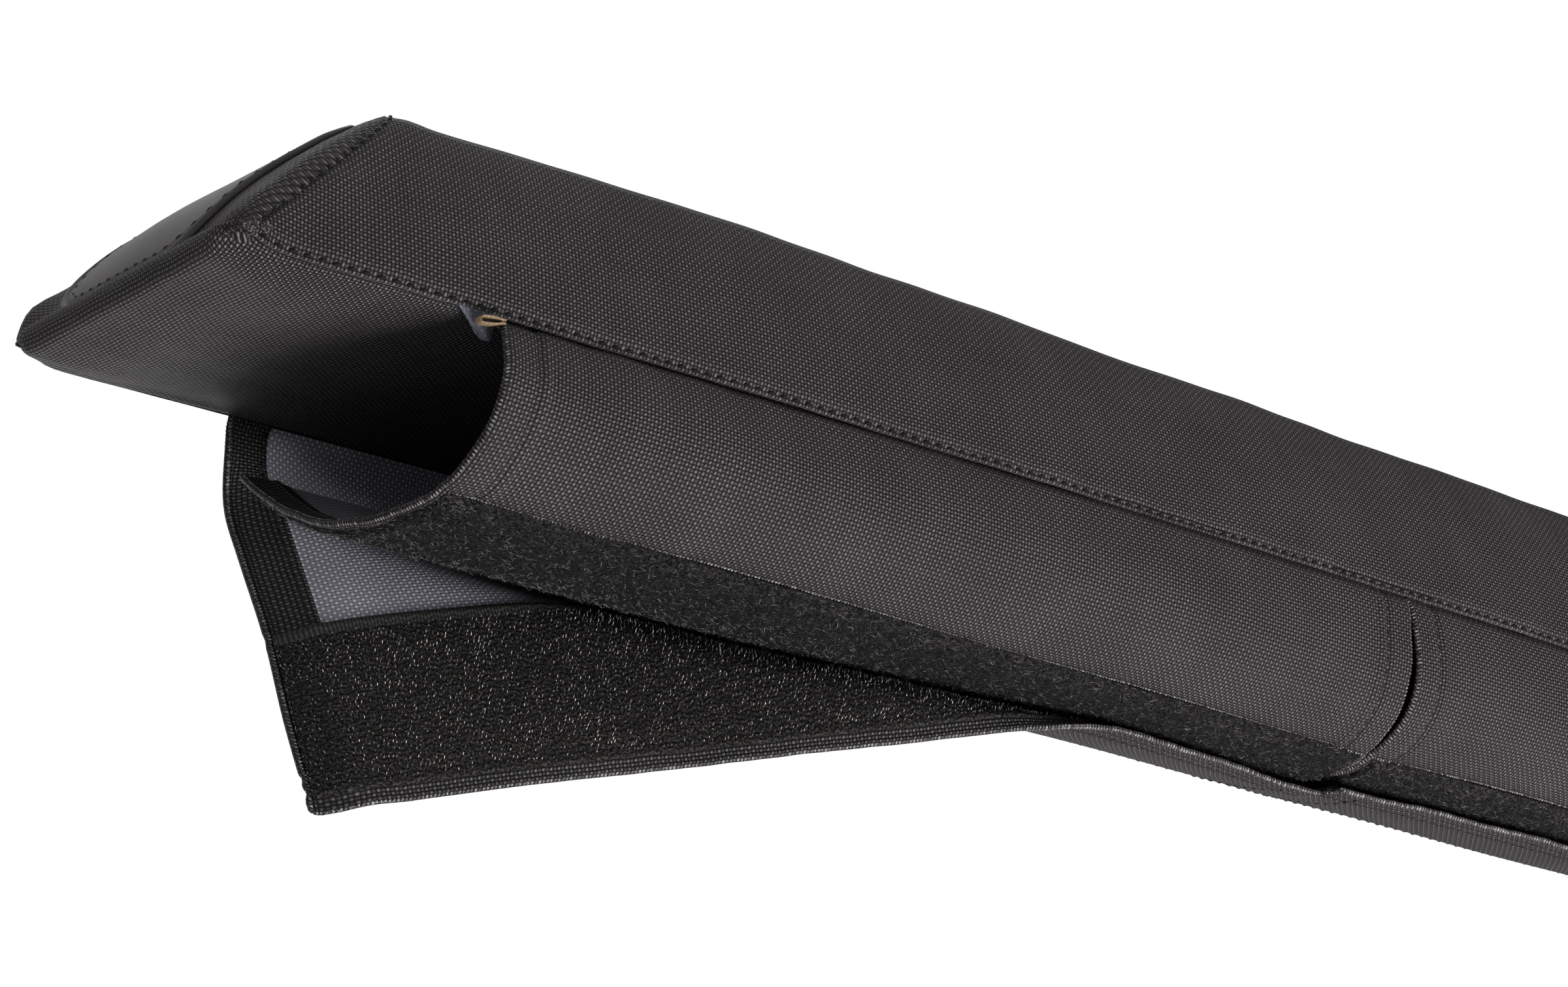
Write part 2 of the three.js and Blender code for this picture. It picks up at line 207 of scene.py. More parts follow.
def between(grid, u, v):
    """Values of a grid at fractional rows u and columns v."""
    i = np.minimum(u.astype(int), grid.shape[0] - 2)
    j = np.minimum(v.astype(int), grid.shape[1] - 2)
    du, dv = (u - i)[:, None], (v - j)[:, None]
    low = grid[i, j] * (1 - dv) + grid[i, j + 1] * dv
    high = grid[i + 1, j] * (1 - dv) + grid[i + 1, j + 1] * dv
    return low * (1 - du) + high * du


def nearest(places, place):
    """Index of the grid place that is nearest to a given one."""
    return int(np.argmin(np.abs(places - place)))


def stations(low, high, coarse, marks=(), fine=0.9, reach=3.6):
    """Grid places from low to high, closer together round the marks."""
    places = [low]
    marks = np.array([*marks, low, high])
    while places[-1] < high:
        near = np.min(np.abs(marks - places[-1]))
        step = fine if near < reach else coarse
        places.append(places[-1] + step)
    places = np.array(places)
    return low + (places - low) * (high - low) / (places[-1] - low)


# Meshes

def volume(points, faces):
    """Signed volume of a closed mesh of quads and triangles."""
    total = 0.0
    for group in faces:
        if len(group) == 0:
            continue
        corners = points[group]
        for last in range(2, group.shape[1]):
            a, b, c = corners[:, 0], corners[:, last - 1], corners[:, last]
            total += float((a * np.cross(b, c)).sum())
    return total


class Piece:
    """A mesh in the making: closed parts with cloth coordinates and finishes."""

    def __init__(self, name):
        self.name = name
        self.points = []
        self.marks = []
        self.faces = []
        self.finishes = []
        self.count = 0

    def add(self, points, marks, faces, finishes):
        """A closed part. faces is a list of index arrays, finishes one array for each."""
        if volume(points, faces) < 0:
            faces = [group[:, ::-1] for group in faces]
        self.points.append(points)
        self.marks.append(marks)
        for group, finish in zip(faces, finishes):
            self.faces.append(group + self.count)
            self.finishes.append(np.broadcast_to(finish, len(group)))
        self.count += len(points)

    def make(self, materials, slot, nodes=()):
        """The Blender object, riding on the body and standing for the CAD nodes."""
        points = np.concatenate(self.points)
        marks = np.concatenate(self.marks)
        points[:, 2] -= BOW * (points[:, 0] / half_length) ** 2
        mesh = bpy.data.meshes.new(self.name)
        faces = [face for group in self.faces for face in group.tolist()]
        mesh.from_pydata((points * MM).tolist(), [], faces)
        layer = mesh.uv_layers.new(name="cloth")
        corners = np.empty(len(mesh.loops), np.int32)
        mesh.loops.foreach_get("vertex_index", corners)
        layer.data.foreach_set("uv", marks[corners].astype(np.float32).ravel())
        finish = np.concatenate(self.finishes).astype(np.int32)
        mesh.polygons.foreach_set("material_index", finish)
        mesh.polygons.foreach_set("use_smooth", np.ones(len(finish), bool))
        for material in materials:
            mesh.materials.append(material)
        mesh.update()
        made = bpy.data.objects.new(self.name, mesh)
        bpy.context.scene.collection.objects.link(made)
        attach(made, "root")
        if nodes:
            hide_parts(*nodes)
        return made


def grid_quads(rows, columns, offset=0):
    """Quads over a grid of points stored row by row."""
    i, j = crossed(np.arange(rows - 1), np.arange(columns - 1))
    a = (i * columns + j + offset).ravel()
    return np.stack([a, a + 1, a + columns + 1, a + columns], axis=1)


def border(rows, columns):
    """Grid indices round the edge, in order."""
    top = [(0, j) for j in range(columns - 1)]
    right = [(i, columns - 1) for i in range(rows - 1)]
    bottom = [(rows - 1, j) for j in range(columns - 1, 0, -1)]
    left = [(i, 0) for i in range(rows - 1, 0, -1)]
    return np.array(top + right + bottom + left)


def add_cloth(piece, outer, normals, thickness, marks,
              inner_finish=0, facing=None, facing_finish=0):
    """A thin closed sheet with a rounded rim, on the inner side of outer.

    facing says where the inner side shows the facing finish, as at a turned hem.
    """
    rows, columns = outer.shape[:2]
    inner = outer - normals * np.asarray(thickness)[..., None]
    edge = border(rows, columns)
    inward = np.clip(edge, 1, [rows - 2, columns - 2])
    at = lambda grid, places: grid[places[:, 0], places[:, 1]]
    middle = (at(outer, edge) + at(inner, edge)) / 2
    away = unit(at(outer, edge) - at(outer, inward))
    depth = np.linalg.norm(at(outer, edge) - at(inner, edge), axis=1)
    rim = middle + away * depth[:, None] * 0.5
    flat = rows * columns
    points = np.concatenate([outer.reshape(-1, 3), inner.reshape(-1, 3), rim])
    rim_marks = at(marks, edge) + 0.7
    all_marks = np.concatenate([marks.reshape(-1, 2), marks.reshape(-1, 2), rim_marks])
    top = grid_quads(rows, columns)
    under = grid_quads(rows, columns, flat)[:, ::-1]
    index = edge[:, 0] * columns + edge[:, 1]
    following = np.roll(index, -1)
    ring = 2 * flat + np.arange(len(edge))
    next_ring = np.roll(ring, -1)
    upper = np.stack([following, index, ring, next_ring], axis=1)
    lower = np.stack([next_ring, ring, index + flat, following + flat], axis=1)
    under_finish = np.full((rows - 1, columns - 1), inner_finish)
    if facing is not None:
        under_finish[facing[:-1, :-1]] = facing_finish
    piece.add(points, all_marks, [top, under, upper, lower], [0, under_finish.ravel(), 0, 0])


def cloth_piece(name, *sheet):
    """A piece that is one sheet."""
    piece = Piece(name)
    add_cloth(piece, *sheet)
    return piece


def grid_normals(points, hint):
    """Unit normals of a grid, turned to the side that hint lies on."""
    across = np.gradient(points, axis=0)
    along = np.gradient(points, axis=1)
    normals = unit(np.cross(across, along))
    side = np.sign((normals * hint).sum())
    return normals * (side if side else 1.0)


def add_rings(piece, start, rings, end, marks_of, turned=False):
    """A closed part: rings of points between a first and a last point."""
    size = len(rings[0])
    points = np.vstack([start, *rings, end])
    around = np.arange(size)
    after = (around + 1) % size
    last = len(points) - 1
    base = last - size
    first_fan = np.stack([0 * around, 1 + after, 1 + around], axis=1)
    last_fan = np.stack([0 * around + last, base + around, base + after], axis=1)
    walls = []
    for low in 1 + size * np.arange(len(rings) - 1):
        high = low + size
        walls.append(np.stack([low + around, low + after, high + after, high + around], axis=1))
    faces = [np.vstack([first_fan, last_fan]), np.vstack(walls)]
    if turned:
        faces = [np.roll(group[:, ::-1], 1, axis=1) for group in faces]
    piece.add(points, marks_of(points), faces, [0, 0])


GRAIN_SIDES = 6
GRAIN_RINGS = [(0.12, 0.72, 0.1), (0.5, 1.0, 0.5), (0.88, 0.72, 0.1)]


def add_grain(piece, start, end, radius, normal):
    """One stitch: a short closed grain of thread, sunk at both ends."""
    axis = unit(end - start)
    left = unit(np.cross(axis, normal))
    up = np.cross(left, axis)
    angles = np.arange(GRAIN_SIDES) * 2 * math.pi / GRAIN_SIDES
    circle = np.outer(np.cos(angles), left) + np.outer(np.sin(angles), up)
    rings = []
    for share, size, lift in GRAIN_RINGS:
        centre = start + (end - start) * share + up * radius * lift
        rings.append(centre + circle * radius * size)
    sunk = up * radius * 0.6
    marks_of = lambda points: np.tile(start[:2], (len(points), 1))
    add_rings(piece, start - sunk, rings, end - sunk, marks_of)


def add_stitches(piece, line, normals, step=STITCH_STEP, length=STITCH_LENGTH,
                 radius=STITCH_RADIUS, sink=STITCH_SINK):
    """A row of stitches along a line of points on cloth."""
    travelled = travelled_along(line)
    place = step / 2
    while place + length < travelled[-1]:
        first = place + random.uniform(-0.12, 0.12)
        normal = unit(picked(place, travelled, normals))
        start, end = picked(np.array([first, first + length]), travelled, line) - normal * sink
        add_grain(piece, start, end, radius * random.uniform(0.9, 1.1), normal)
        place += step


def add_edge(piece, outer, normals, depth, away):
    """Threads that turn over a folded edge, one beside the other."""
    travelled = travelled_along(outer)
    places = np.arange(WEAVE_PITCH, travelled[-1] - WEAVE_PITCH / 2, WEAVE_PITCH)
    tops = picked(places, travelled, outer)
    ups, outs = (unit(picked(places, travelled, values)) for values in (normals, away))
    deeps = np.interp(places, travelled, depth)
    for top, up, out, deep in zip(tops, ups, outs, deeps):
        start = top + up * 0.1 + out * 0.05
        end = top - up * (deep + 0.1) + out * 0.05
        add_grain(piece, start, end, EDGE_THREAD * random.uniform(0.85, 1.15), out)


def sheet_edges(piece, points, normals, depth, lines):
    """Edge threads on some of the edges of a sheet's grid: first or last row or column."""
    for rows, at, inside in lines:
        pick = (lambda grid, k: grid[k]) if rows else (lambda grid, k: grid[:, k])
        away = pick(points, at) - pick(points, inside)
        add_edge(piece, pick(points, at), pick(normals, at), pick(depth, at), away)


# Padded block: one section round the near side, top and far side

def section(inset=0.0):
    """Points (y, z) from the near seam over the top to the far seam, and distances."""
    near, top, high = half_width - inset, half_top - inset, pad_height - inset
    corners = [(-near, inset), (-top, high), (top, high), (near, inset)]
    share = np.linspace(0, 1, 160, endpoint=False)[:, None]
    line = []
    crowns = (SIDE_CROWN, TOP_CROWN, SIDE_CROWN)
    for (y0, z0), (y1, z1), crown in zip(corners, corners[1:], crowns):
        run = np.array([y1 - y0, z1 - z0])
        outward = unit(np.array([-run[1], run[0]]))
        swell = 4 * crown * share * (1 - share) * outward
        line.append(np.array([y0, z0]) + share * run + swell)
    line = np.vstack([*line, [corners[-1]]])
    travelled = travelled_along(line)
    even = np.linspace(0, travelled[-1], 900)
    line = picked(even, travelled, line)
    keep = ease(np.minimum(even, even[-1] - even) / (2 * SHOULDER_BLEND))
    for k in range(2):
        line[:, k] += (smooth(line[:, k], 2 * SHOULDER_BLEND, even[1]) - line[:, k]) * keep
    return line, even


def end_reach(z):
    """How far the bevelled end reaches along X at height z."""
    return half_length - BEVEL_RUN * np.clip(z, 0, None) / pad_height


def round_corners(points):
    """The block's four lower corners, pulled in a little towards its middle."""
    moved = points.copy()
    for x in (-half_length, half_length):
        for y in (-half_width, half_width):
            corner = np.array([x, y, 0.0])
            near = bell(np.linalg.norm(points - corner, axis=-1), CORNER_REACH)
            pull = unit(np.array([-x, -y * CORNER_SLANT, 0.0])) * CORNER_PULL
            moved += near[..., None] * (pull + np.array([0, 0, CORNER_LIFT]))
    return moved


def seam_tuck(first, second):
    """Depth of the cloth in the seams at two edges, less where they meet in a corner."""
    deep = np.maximum(bell(first, SEAM_REACH), bell(second, SEAM_REACH))
    return SEAM_TUCK * deep * ease(np.hypot(first, second) / CORNER_FADE)


def cover_wrap():
    """Near side, top and far side as one cloth, tucked in at its seams."""
    line, travelled = section()
    total = travelled[-1]
    around = stations(0, total, 3.2, [SEAM_REACH * 1.4])
    along = stations(-1, 1, 0.0085, fine=0.0024, reach=0.018)
    y, z = picked(around, travelled, line).T
    reach = end_reach(z)
    x = along[:, None] * reach
    points = np.stack([x, y + 0 * x, z + 0 * x], axis=-1)
    normals = grid_normals(points, np.array([0, 0, 1.0]))
    to_end = (1 - np.abs(along))[:, None] * reach
    to_near = around + 0 * x
    to_far = total - to_near
    shoulder = bell(np.abs(y) - half_top, SHOULDER_REACH)
    offset = -seam_tuck(to_end, np.minimum(to_near, to_far)) * (1 - 0.9 * shoulder)
    offset += 0.55 * bell(to_end - 6.5, 4.5)
    puckers = ripple(x, to_near * 0.3, 13, 5)
    offset += 0.22 * puckers * (bell(to_near - 4, 9) + bell(to_far - 4, 9))
    offset += 0.2 * ripple(to_near, x * 0.2, 12, 9) * bell(to_end - 4, 10)
    offset += 0.35 * ripple(x, to_near, 90, 3) + 0.12 * ripple(x, to_near, 24, 4)
    fade = ease(np.minimum(np.minimum(to_near, to_far), to_end) / 2.0)
    points = points + normals * (offset * np.where(offset > 0, fade, 1))[..., None]
    swell = TOP_SWELL * bell(np.abs(x) - SWELL_MIDDLE, SWELL_LENGTH) * ease(to_end / 60)
    points[..., 2] += swell * ease(z / pad_height)
    points = round_corners(points)
    marks = np.stack([x, to_near], axis=-1)
    piece = cloth_piece("cover_wrap_cloth", points, normals, FABRIC, marks)
    return piece, points, normals


def end_way(side):
    """Direction square to the slope of a bevelled end."""
    return np.array([side * pad_height, 0.0, BEVEL_RUN])


def end_surface(side, across, height):
    """Points of a bevelled end. across runs from -1 to 1, height from 0 to 1."""
    line, _ = section()
    near_side = line[:len(line) // 4 + 60]
    z = height * pad_height
    half = np.interp(z, near_side[:, 1], -near_side[:, 0])
    y = across * half
    crown = TOP_CROWN * (1 - across ** 2) * ease(height * 3 - 2)
    spread = np.clip(1 - np.abs(across) ** 3, 0, 1) ** 0.35
    bulge = END_BULGE * spread * np.sin(math.pi * np.clip(height, 0, 1) ** 0.82)
    from_place = np.hypot((np.abs(across) - SWELL_PLACE[0]) * half_width,
                          (height - SWELL_PLACE[1]) * slope_length)
    bulge += CORNER_SWELL * bell(from_place, SWELL_REACH) * np.where(across > 0, 1.0, 0.35)
    to_side = (1 - np.abs(across)) * half
    to_top = (1 - height) * pad_height
    shoulder = bell(to_side, SHOULDER_REACH) * bell(to_top, SHOULDER_REACH)
    to_top = to_top * 1.3
    edge = np.minimum(to_side, to_top)
    to_corner = np.hypot(edge, height * slope_length)
    tuck = -SEAM_TUCK * bell(edge, SEAM_REACH) * ease(to_corner / CORNER_FADE)
    tuck = tuck * (1 - 0.9 * shoulder) * (1 - 0.6 * bell(to_top, 3.0)) + 0.5 * bell(edge - 6, 4)
    tuck += 0.2 * ripple(y, z * 1.4, 14, 21) * bell(edge - 3, 9)
    tuck += 0.3 * ripple(y, z, 40, 22) * np.sin(math.pi * height)
    points = np.stack([side * end_reach(z), y, z + crown], axis=-1)
    return points + (bulge + tuck)[..., None] * unit(end_way(side))


def end_grid(side):
    """The bevelled end as a grid, with its normals."""
    across = stations(-1, 1, 0.045, fine=0.014, reach=0.07)
    height = stations(0, 1, 0.045, fine=0.014, reach=0.07)
    grid_a, grid_h = crossed(across, height)
    points = end_surface(side, grid_a, grid_h)
    normals = grid_normals(points, end_way(side))
    marks = np.stack([points[..., 1], grid_h * slope_length], axis=-1)
    return points, normals, marks


def end_panel(side, label):
    """Cloth over a bevelled end."""
    points, normals, marks = end_grid(side)
    points = round_corners(points)
    return cloth_piece(f"end_cloth_{label}", points, normals, FABRIC, marks)


def base_panel():
    """Underside cloth. It rolls up round the foot of each end, and it sags a little."""
    along = stations(-half_length, half_length, 4.5, fine=0.8, reach=11)
    across = stations(-half_width, half_width, 4.0, fine=0.8, reach=12)
    x, y = crossed(along, across)
    to_end = half_length - np.abs(x)
    to_side = half_width - np.abs(y)
    arc = math.radians(ROLL_TURN) * ROLL_RADIUS
    centre_x, centre_z = ROLL_CENTRE
    angle = -math.pi / 2 - math.radians(ROLL_TURN) * np.clip(1 - to_end / arc, 0, 1)
    stretch = (half_length - centre_x) / (half_length - arc)
    flat = centre_x + np.maximum(to_end - arc, 0) * stretch
    rolled_x = np.where(to_end > arc, flat, centre_x + ROLL_RADIUS * np.cos(angle))
    low = ROLL_RADIUS - centre_z
    sag = SAG + SAG_AT_END * bell(to_end, SAG_REACH)
    sag = low + (sag - low) * ease((to_end - arc) / 20)
    rolled_z = np.where(to_end > arc, -sag, centre_z + ROLL_RADIUS * np.sin(angle))
    full = np.sin(math.pi / 2 * np.clip(to_side / (10 + 20 * ease(to_end / 40)), 0, 1))
    inward = to_end + (rolled_x - to_end) * full
    z = rolled_z * full
    z += 0.5 * seam_tuck(to_side, to_end)
    z -= 0.5 * bell(to_side - 5, 3) * ease(to_end / 10)
    z += 0.35 * ripple(x, y, 46, 31) * full * ease(to_end / 12) + 0.12 * ripple(x, y, 17, 32)
    out_x = np.sign(x) * (half_length - inward)
    out_y = y - np.sign(y) * seam_tuck(to_side, to_end)
    points = round_corners(np.stack([out_x, out_y, z], axis=-1))
    normals = grid_normals(points, np.array([0, 0, -1.0]))
    travelled = travelled_along(points)
    marks = np.stack([travelled - travelled[-1] / 2, y + half_width], axis=-1)
    return cloth_piece("base_cloth", points, normals, FABRIC, marks)


FOLD_PLACE = np.array([6.6, 6.0, 3.6])
FOLD_REACH = np.array([5.2, 4.0, 3.3])


def corner_fold(side, label):
    """Cloth folded together inside the two lower corners of an end."""
    piece = Piece(f"corner_fold_{label}")
    turn = np.arange(20) * 2 * math.pi / 20
    tip = np.array([0, 0, FOLD_REACH[2]])
    for hand in (-1, 1):
        corner = np.array([side * half_length, hand * half_width, 0])
        centre = corner - FOLD_PLACE * [side, hand, -1]
        rings = []
        for tilt in np.linspace(0, math.pi, 13)[1:-1]:
            flat = math.sin(tilt)
            level = math.cos(tilt) + 0 * turn
            ring = np.stack([flat * np.cos(turn), flat * np.sin(turn), level], axis=1)
            rings.append(centre + ring * FOLD_REACH)
        marks_of = lambda points: points[:, :2] + points[:, 2:]
        add_rings(piece, centre + tip, rings, centre - tip, marks_of)
    return piece


def patch_outline(shrink=0.0):
    """Edge of the rubber patch on a bevelled end, as (across, height) shares."""
    low, high = PATCH_LOW + shrink / slope_length, PATCH_HIGH - shrink / slope_length
    foot = PATCH_FOOT - shrink / half_width
    top = PATCH_TOP - shrink / half_top
    corners = np.array([(-foot, low), (foot, low), (top, high), (-top, high)])
    share = np.linspace(0, 1, 13)[:, None]
    line = []
    for i, (corner, radius) in enumerate(zip(corners, PATCH_RADII)):
        reach = [radius, radius * 1.2]
        first, last = (corner + unit(corners[k] - corner) * reach for k in (i - 1, (i + 1) % 4))
        line.append((1 - share) ** 2 * first + 2 * share * (1 - share) * corner
                    + share ** 2 * last)
    return np.vstack(line)


def even_loop(line, count):
    """A closed outline resampled to count points."""
    closed = np.vstack([line, line[:1]])
    travelled = travelled_along(closed)
    return picked(np.linspace(0, travelled[-1], count, endpoint=False), travelled, closed)


def patch_points(side, shares):
    """Points and normals of the bevelled end at (across, height) shares."""
    step = 0.01
    here = end_surface(side, shares[..., 0], shares[..., 1])
    right = end_surface(side, shares[..., 0] + step, shares[..., 1])
    above = end_surface(side, shares[..., 0], np.clip(shares[..., 1] + step, 0, 1.01))
    normals = unit(np.cross(right - here, above - here))
    turned = (normals @ end_way(side))[..., None]
    return here, normals * np.sign(turned)


PATCH_THICKNESS = 1.3
PATCH_GAP = 0.05
PATCH_RIM = [(0.25, 1), (0.5, 1), (0.75, 1), (0.88, 1), (0.935, 0.95), (0.95, 0.4),
             (0.964, 1.2), (0.986, 1.3), (1, 0.5)]


def patch_depth(shares):
    """Thickness of the rubber, which is pressed flatter along its top edge."""
    return PATCH_THICKNESS * (1 - 0.6 * ease((shares[..., 1:] - 0.72) / 0.17))


def end_patch(side, label):
    """Rubber sheet on a bevelled end, with a raised rim outside its stitches."""
    edge = even_loop(patch_outline(), 150)
    centre = edge.mean(axis=0)

    def ring(share, rise=0):
        shares = centre + (edge - centre) * share
        points, normals = patch_points(side, shares)
        return points + normals * (patch_depth(shares) * rise if rise else PATCH_GAP)

    rings = [ring(share, rise) for share, rise in PATCH_RIM] + [ring(1), ring(0.5)]
    point, normal = patch_points(side, centre[None])
    piece = Piece(f"rubber_patch_{label}")
    first, last = (point + normal * depth for depth in (PATCH_THICKNESS, PATCH_GAP))
    add_rings(piece, first, rings, last, lambda points: points[:, 1:3], turned=True)
    return piece


# Hanging cloth

WALK = 0.5
TURN_BLEND = 9.0
FLAP_TOP = -0.6


def walk(start, side, angles):
    """Path of a section of cloth whose direction turns as the angles say."""
    turned = np.radians(smooth(angles, TURN_BLEND, WALK))
    moves = np.stack([side * np.sin(turned), -np.cos(turned)], axis=1) * WALK
    return np.vstack([start, start + np.cumsum(moves, axis=0)])


def walk_steps(width):
    return (np.arange(int(round(width / WALK))) + 0.5) * WALK


def near_path(x):
    """Section of the near flap at x, in (y, z), from its seam to its free edge."""
    share = min(abs(x) / near_start, 1.0)
    at = walk_steps(NEAR_WIDTH) / NEAR_WIDTH
    slit = np.interp(at, NEAR_AT, NEAR_AT_SLIT)
    end = np.interp(at, NEAR_AT, NEAR_AT_END)
    return walk(np.array([-half_width, FLAP_TOP]), 1, slit + (end - slit) * share)


def path_normals(path, side):
    along = unit(np.gradient(path, axis=0))
    return np.stack([along[:, 1], -along[:, 0]], axis=1) * side


def closed_angles(x):
    """Direction of the closed far flap, which follows the near flap's outer face."""
    near = near_path(x)
    follow = near + path_normals(near, 1) * STACK
    tip = follow[-1]
    run_in = unit(tip - follow[-1 - int(RUN_IN / WALK)]) * RUN_IN
    start = np.array([half_width, FLAP_TOP])
    share = np.linspace(0, 1, 60)[:, None]
    first = start + np.array([FAR_BULGE / 4, -FAR_BULGE])
    second = tip + run_in
    drop = ((1 - share) ** 3 * start + 3 * share * (1 - share) ** 2 * first
            + 3 * share ** 2 * (1 - share) * second + share ** 3 * tip)
    line = np.vstack([drop, follow[-2::-4]])
    moves = np.diff(line, axis=0)
    lengths = np.linalg.norm(moves, axis=1)
    middles = np.cumsum(lengths) - lengths / 2
    return middles, np.degrees(np.arctan2(-moves[:, 0], -moves[:, 1]))


def shut_share(x):
    return min(max((x + far_start) / PEEL_LENGTH, 0.0), 1.0)


def far_path(x, width, peeled):
    """Section of the far flap at x. Past the peel's front its cloth hangs open."""
    steps = walk_steps(width)
    middles, shut = closed_angles(x)
    angles = np.interp(steps, middles, shut)
    if peeled:
        front = (FAR_WIDTH + PEEL_TURN) * shut_share(x) ** PEEL_POWER - PEEL_TURN
        hanging = np.interp(steps / width, PEELED_AT, PEELED)
        angles = angles + (hanging - angles) * ease((steps - front) / PEEL_TURN)
    return walk(np.array([half_width, FLAP_TOP]), -1, angles)


def cloth_grid(columns, distances, path_of, x_of, side, right):
    """Outer face of a flap over (column, distance) and its normals, flipped on the right."""
    points = np.empty((len(columns), len(distances), 3))
    hint = np.zeros_like(points)
    for i, x in enumerate(columns):
        path = path_of(x)
        travelled = np.arange(len(path)) * WALK
        points[i, :, 0] = x_of(x, distances)
        points[i, :, 1:] = picked(distances, travelled, path)
        hint[i, :, 1:] = picked(distances, travelled, path_normals(path, side))
    normals = grid_normals(points, hint)
    hand = np.array([-1.0 if right else 1.0, 1.0, 1.0])
    return points * hand, normals * hand


def near_x(x, distances):
    """Place along the bar, with the slanted end edge and the bowed slit."""
    end_share = max(0.0, 1 - (near_start + x) / SLANT_REACH)
    slit_share = max(0.0, 1 + x / SLIT_BOW_LENGTH)
    slant = NEAR_SLANT * np.minimum(1, distances / SLANT_REACH) * end_share
    bow = SLIT_BOW * np.sin(math.pi * np.minimum(1, distances / SLIT_BOW_LENGTH)) * slit_share
    return x - slant - bow


def far_x(x, distances):
    """Place along the bar of the peeled flap, which leans and bows at its open end."""
    share = distances / FAR_WIDTH
    bow = PEEL_BOW * np.sin(math.pi * np.clip(share, 0, 1) ** 1.5)
    return x + (PEEL_SHEAR * share - bow) * (1 - shut_share(x))


def hem_step(columns, outer):
    """1 on the folded hems at both ends of a flap, 0 between them."""
    from_end = np.minimum(columns + outer, -columns - SLIT_HALF)
    return ease((HEM + 1 - from_end) / 1.6)


HEM_STITCH = 9.0
HEM_RISE = 0.45
STRIP_ROWS = (3.0, 5.2)
RAW_EDGE = {"step": WEAVE_PITCH, "length": 0.9, "radius": 0.36, "sink": 0.0}
FLAP_FRAY = 420
SHAGGY = {"length": 2.6, "radius": 0.07}
CURL = {"length": 2.8, "radius": 0.045}
FUZZ = {"length": 1.9, "radius": 0.09}


def near_flap(right, label):
    """Near flap: cloth outside, coated lining inside, folded hems at both ends."""
    hem_lines = [-near_start + HEM_STITCH, -SLIT_HALF - HEM_STITCH]
    hem_ends = [-near_start + HEM + 1, -HEM - 1.5]
    columns = stations(-near_start, -SLIT_HALF, 3.4, [*hem_lines, *hem_ends])
    strip = NEAR_WIDTH - LOOP_EDGE - LOOP_WIDTH
    distances = stations(0, NEAR_WIDTH, 3.0, [strip])
    points, normals = cloth_grid(columns, distances, near_path, near_x, 1, right)
    x, s = crossed(columns, distances)
    hem = hem_step(columns, near_start)[:, None]
    offset = HEM_RISE * hem * ease(s / 8) - SEAM_TUCK * bell(s, SEAM_REACH)
    for line in hem_lines:
        offset -= 0.6 * bell(x - line, 1.1)
    offset += 0.35 * bell(x + near_start - 1.6, 1.3) * ease(s / 8)
    offset -= 0.5 * bell(s - strip + 0.5, 1.3)
    seam = 41 if right else 40
    offset += 0.45 * ripple(x, s, 70, seam) * ease(s / 10) * (s < strip + 20)
    offset += 0.16 * ripple(x, s * 0.25, 15, seam + 3) * (bell(s - 5, 8) + bell(s - strip + 6, 8))
    offset += 0.14 * ripple(x * 0.4, s, 11, seam + 5) * hem
    points = points + normals * offset[..., None]
    thickness = FABRIC + FABRIC * 0.9 * hem + 0 * s
    facing = np.broadcast_to(hem > 0.5, x.shape)
    marks = np.stack([x, s], axis=-1)
    piece = cloth_piece(f"near_flap_cloth_{label}", points, normals, thickness, marks, 1, facing, 2)
    stitches = Piece(f"near_flap_stitches_{label}")
    for line in hem_lines:
        i = nearest(columns, line)
        add_stitches(stitches, points[i], normals[i])
    j = nearest(distances, strip - 0.5)
    add_stitches(stitches, points[:, j], normals[:, j])
    for row in STRIP_ROWS:
        j = nearest(distances, strip + row)
        inner = points[:, j] - normals[:, j] * thickness[:, j, None]
        add_stitches(stitches, inner, -normals[:, j], sink=-0.1)
    edges = Piece(f"near_flap_edges_{label}")
    sheet_edges(edges, points, normals, thickness, [(True, 0, 1), (True, -1, -2)])
    j = nearest(distances, strip + 0.6)
    add_stitches(edges, points[:, j], normals[:, j], **RAW_EDGE)
    fray = Piece(f"near_flap_fray_{label}")
    end = nearest(columns, hem_ends[0])
    band = (slice(end - 1, end + 2), slice(len(distances) // 3, len(distances) * 4 // 5))
    inner = points[band] - normals[band] * thickness[band][..., None]
    add_curled(fray, *scatter(inner, -normals[band], marks[band], FLAP_FRAY), **SHAGGY)
    return piece, stitches, fray, edges


def loop_strip(right, label):
    """Brushed loop pile on the near flap: an uneven mat with loose curls on it."""
    columns = stations(-near_start + 1, -SLIT_HALF - 1, 2.6)
    start = NEAR_WIDTH - LOOP_EDGE - LOOP_WIDTH
    distances = stations(start, start + LOOP_WIDTH, 2.2)
    points, normals = cloth_grid(columns, distances, near_path, near_x, 1, right)
    x, s = crossed(columns, distances)
    to_edge = np.minimum(np.minimum(s - start, start + LOOP_WIDTH - s), x + near_start - 1)
    to_edge = np.minimum(to_edge, -SLIT_HALF - 1 - x)
    rise = 0.55 + LOOP_RISE * ease(to_edge / 3.0) * 0.75
    rise = rise + (0.22 * ripple(x, s, 7, 51) + 0.16 * ripple(x, s, 3.2, 52)) * ease(to_edge / 4)
    rise -= 0.9 * bell(x + near_start - HEM_STITCH, 1.1)
    outer = points + normals * rise[..., None]
    marks = np.stack([x, s], axis=-1)
    piece = cloth_piece(f"loop_mat_{label}", outer, normals, rise - 0.3, marks)
    hairs = Piece(f"loop_curls_{label}")
    add_curled(hairs, *scatter(outer, normals, marks, LOOP_CURLS), **CURL)
    fuzz = Piece(f"loop_fuzz_{label}")
    add_spikes(fuzz, *scatter(outer, normals, marks, LOOP_FUZZ), **FUZZ)
    return piece, hairs, fuzz


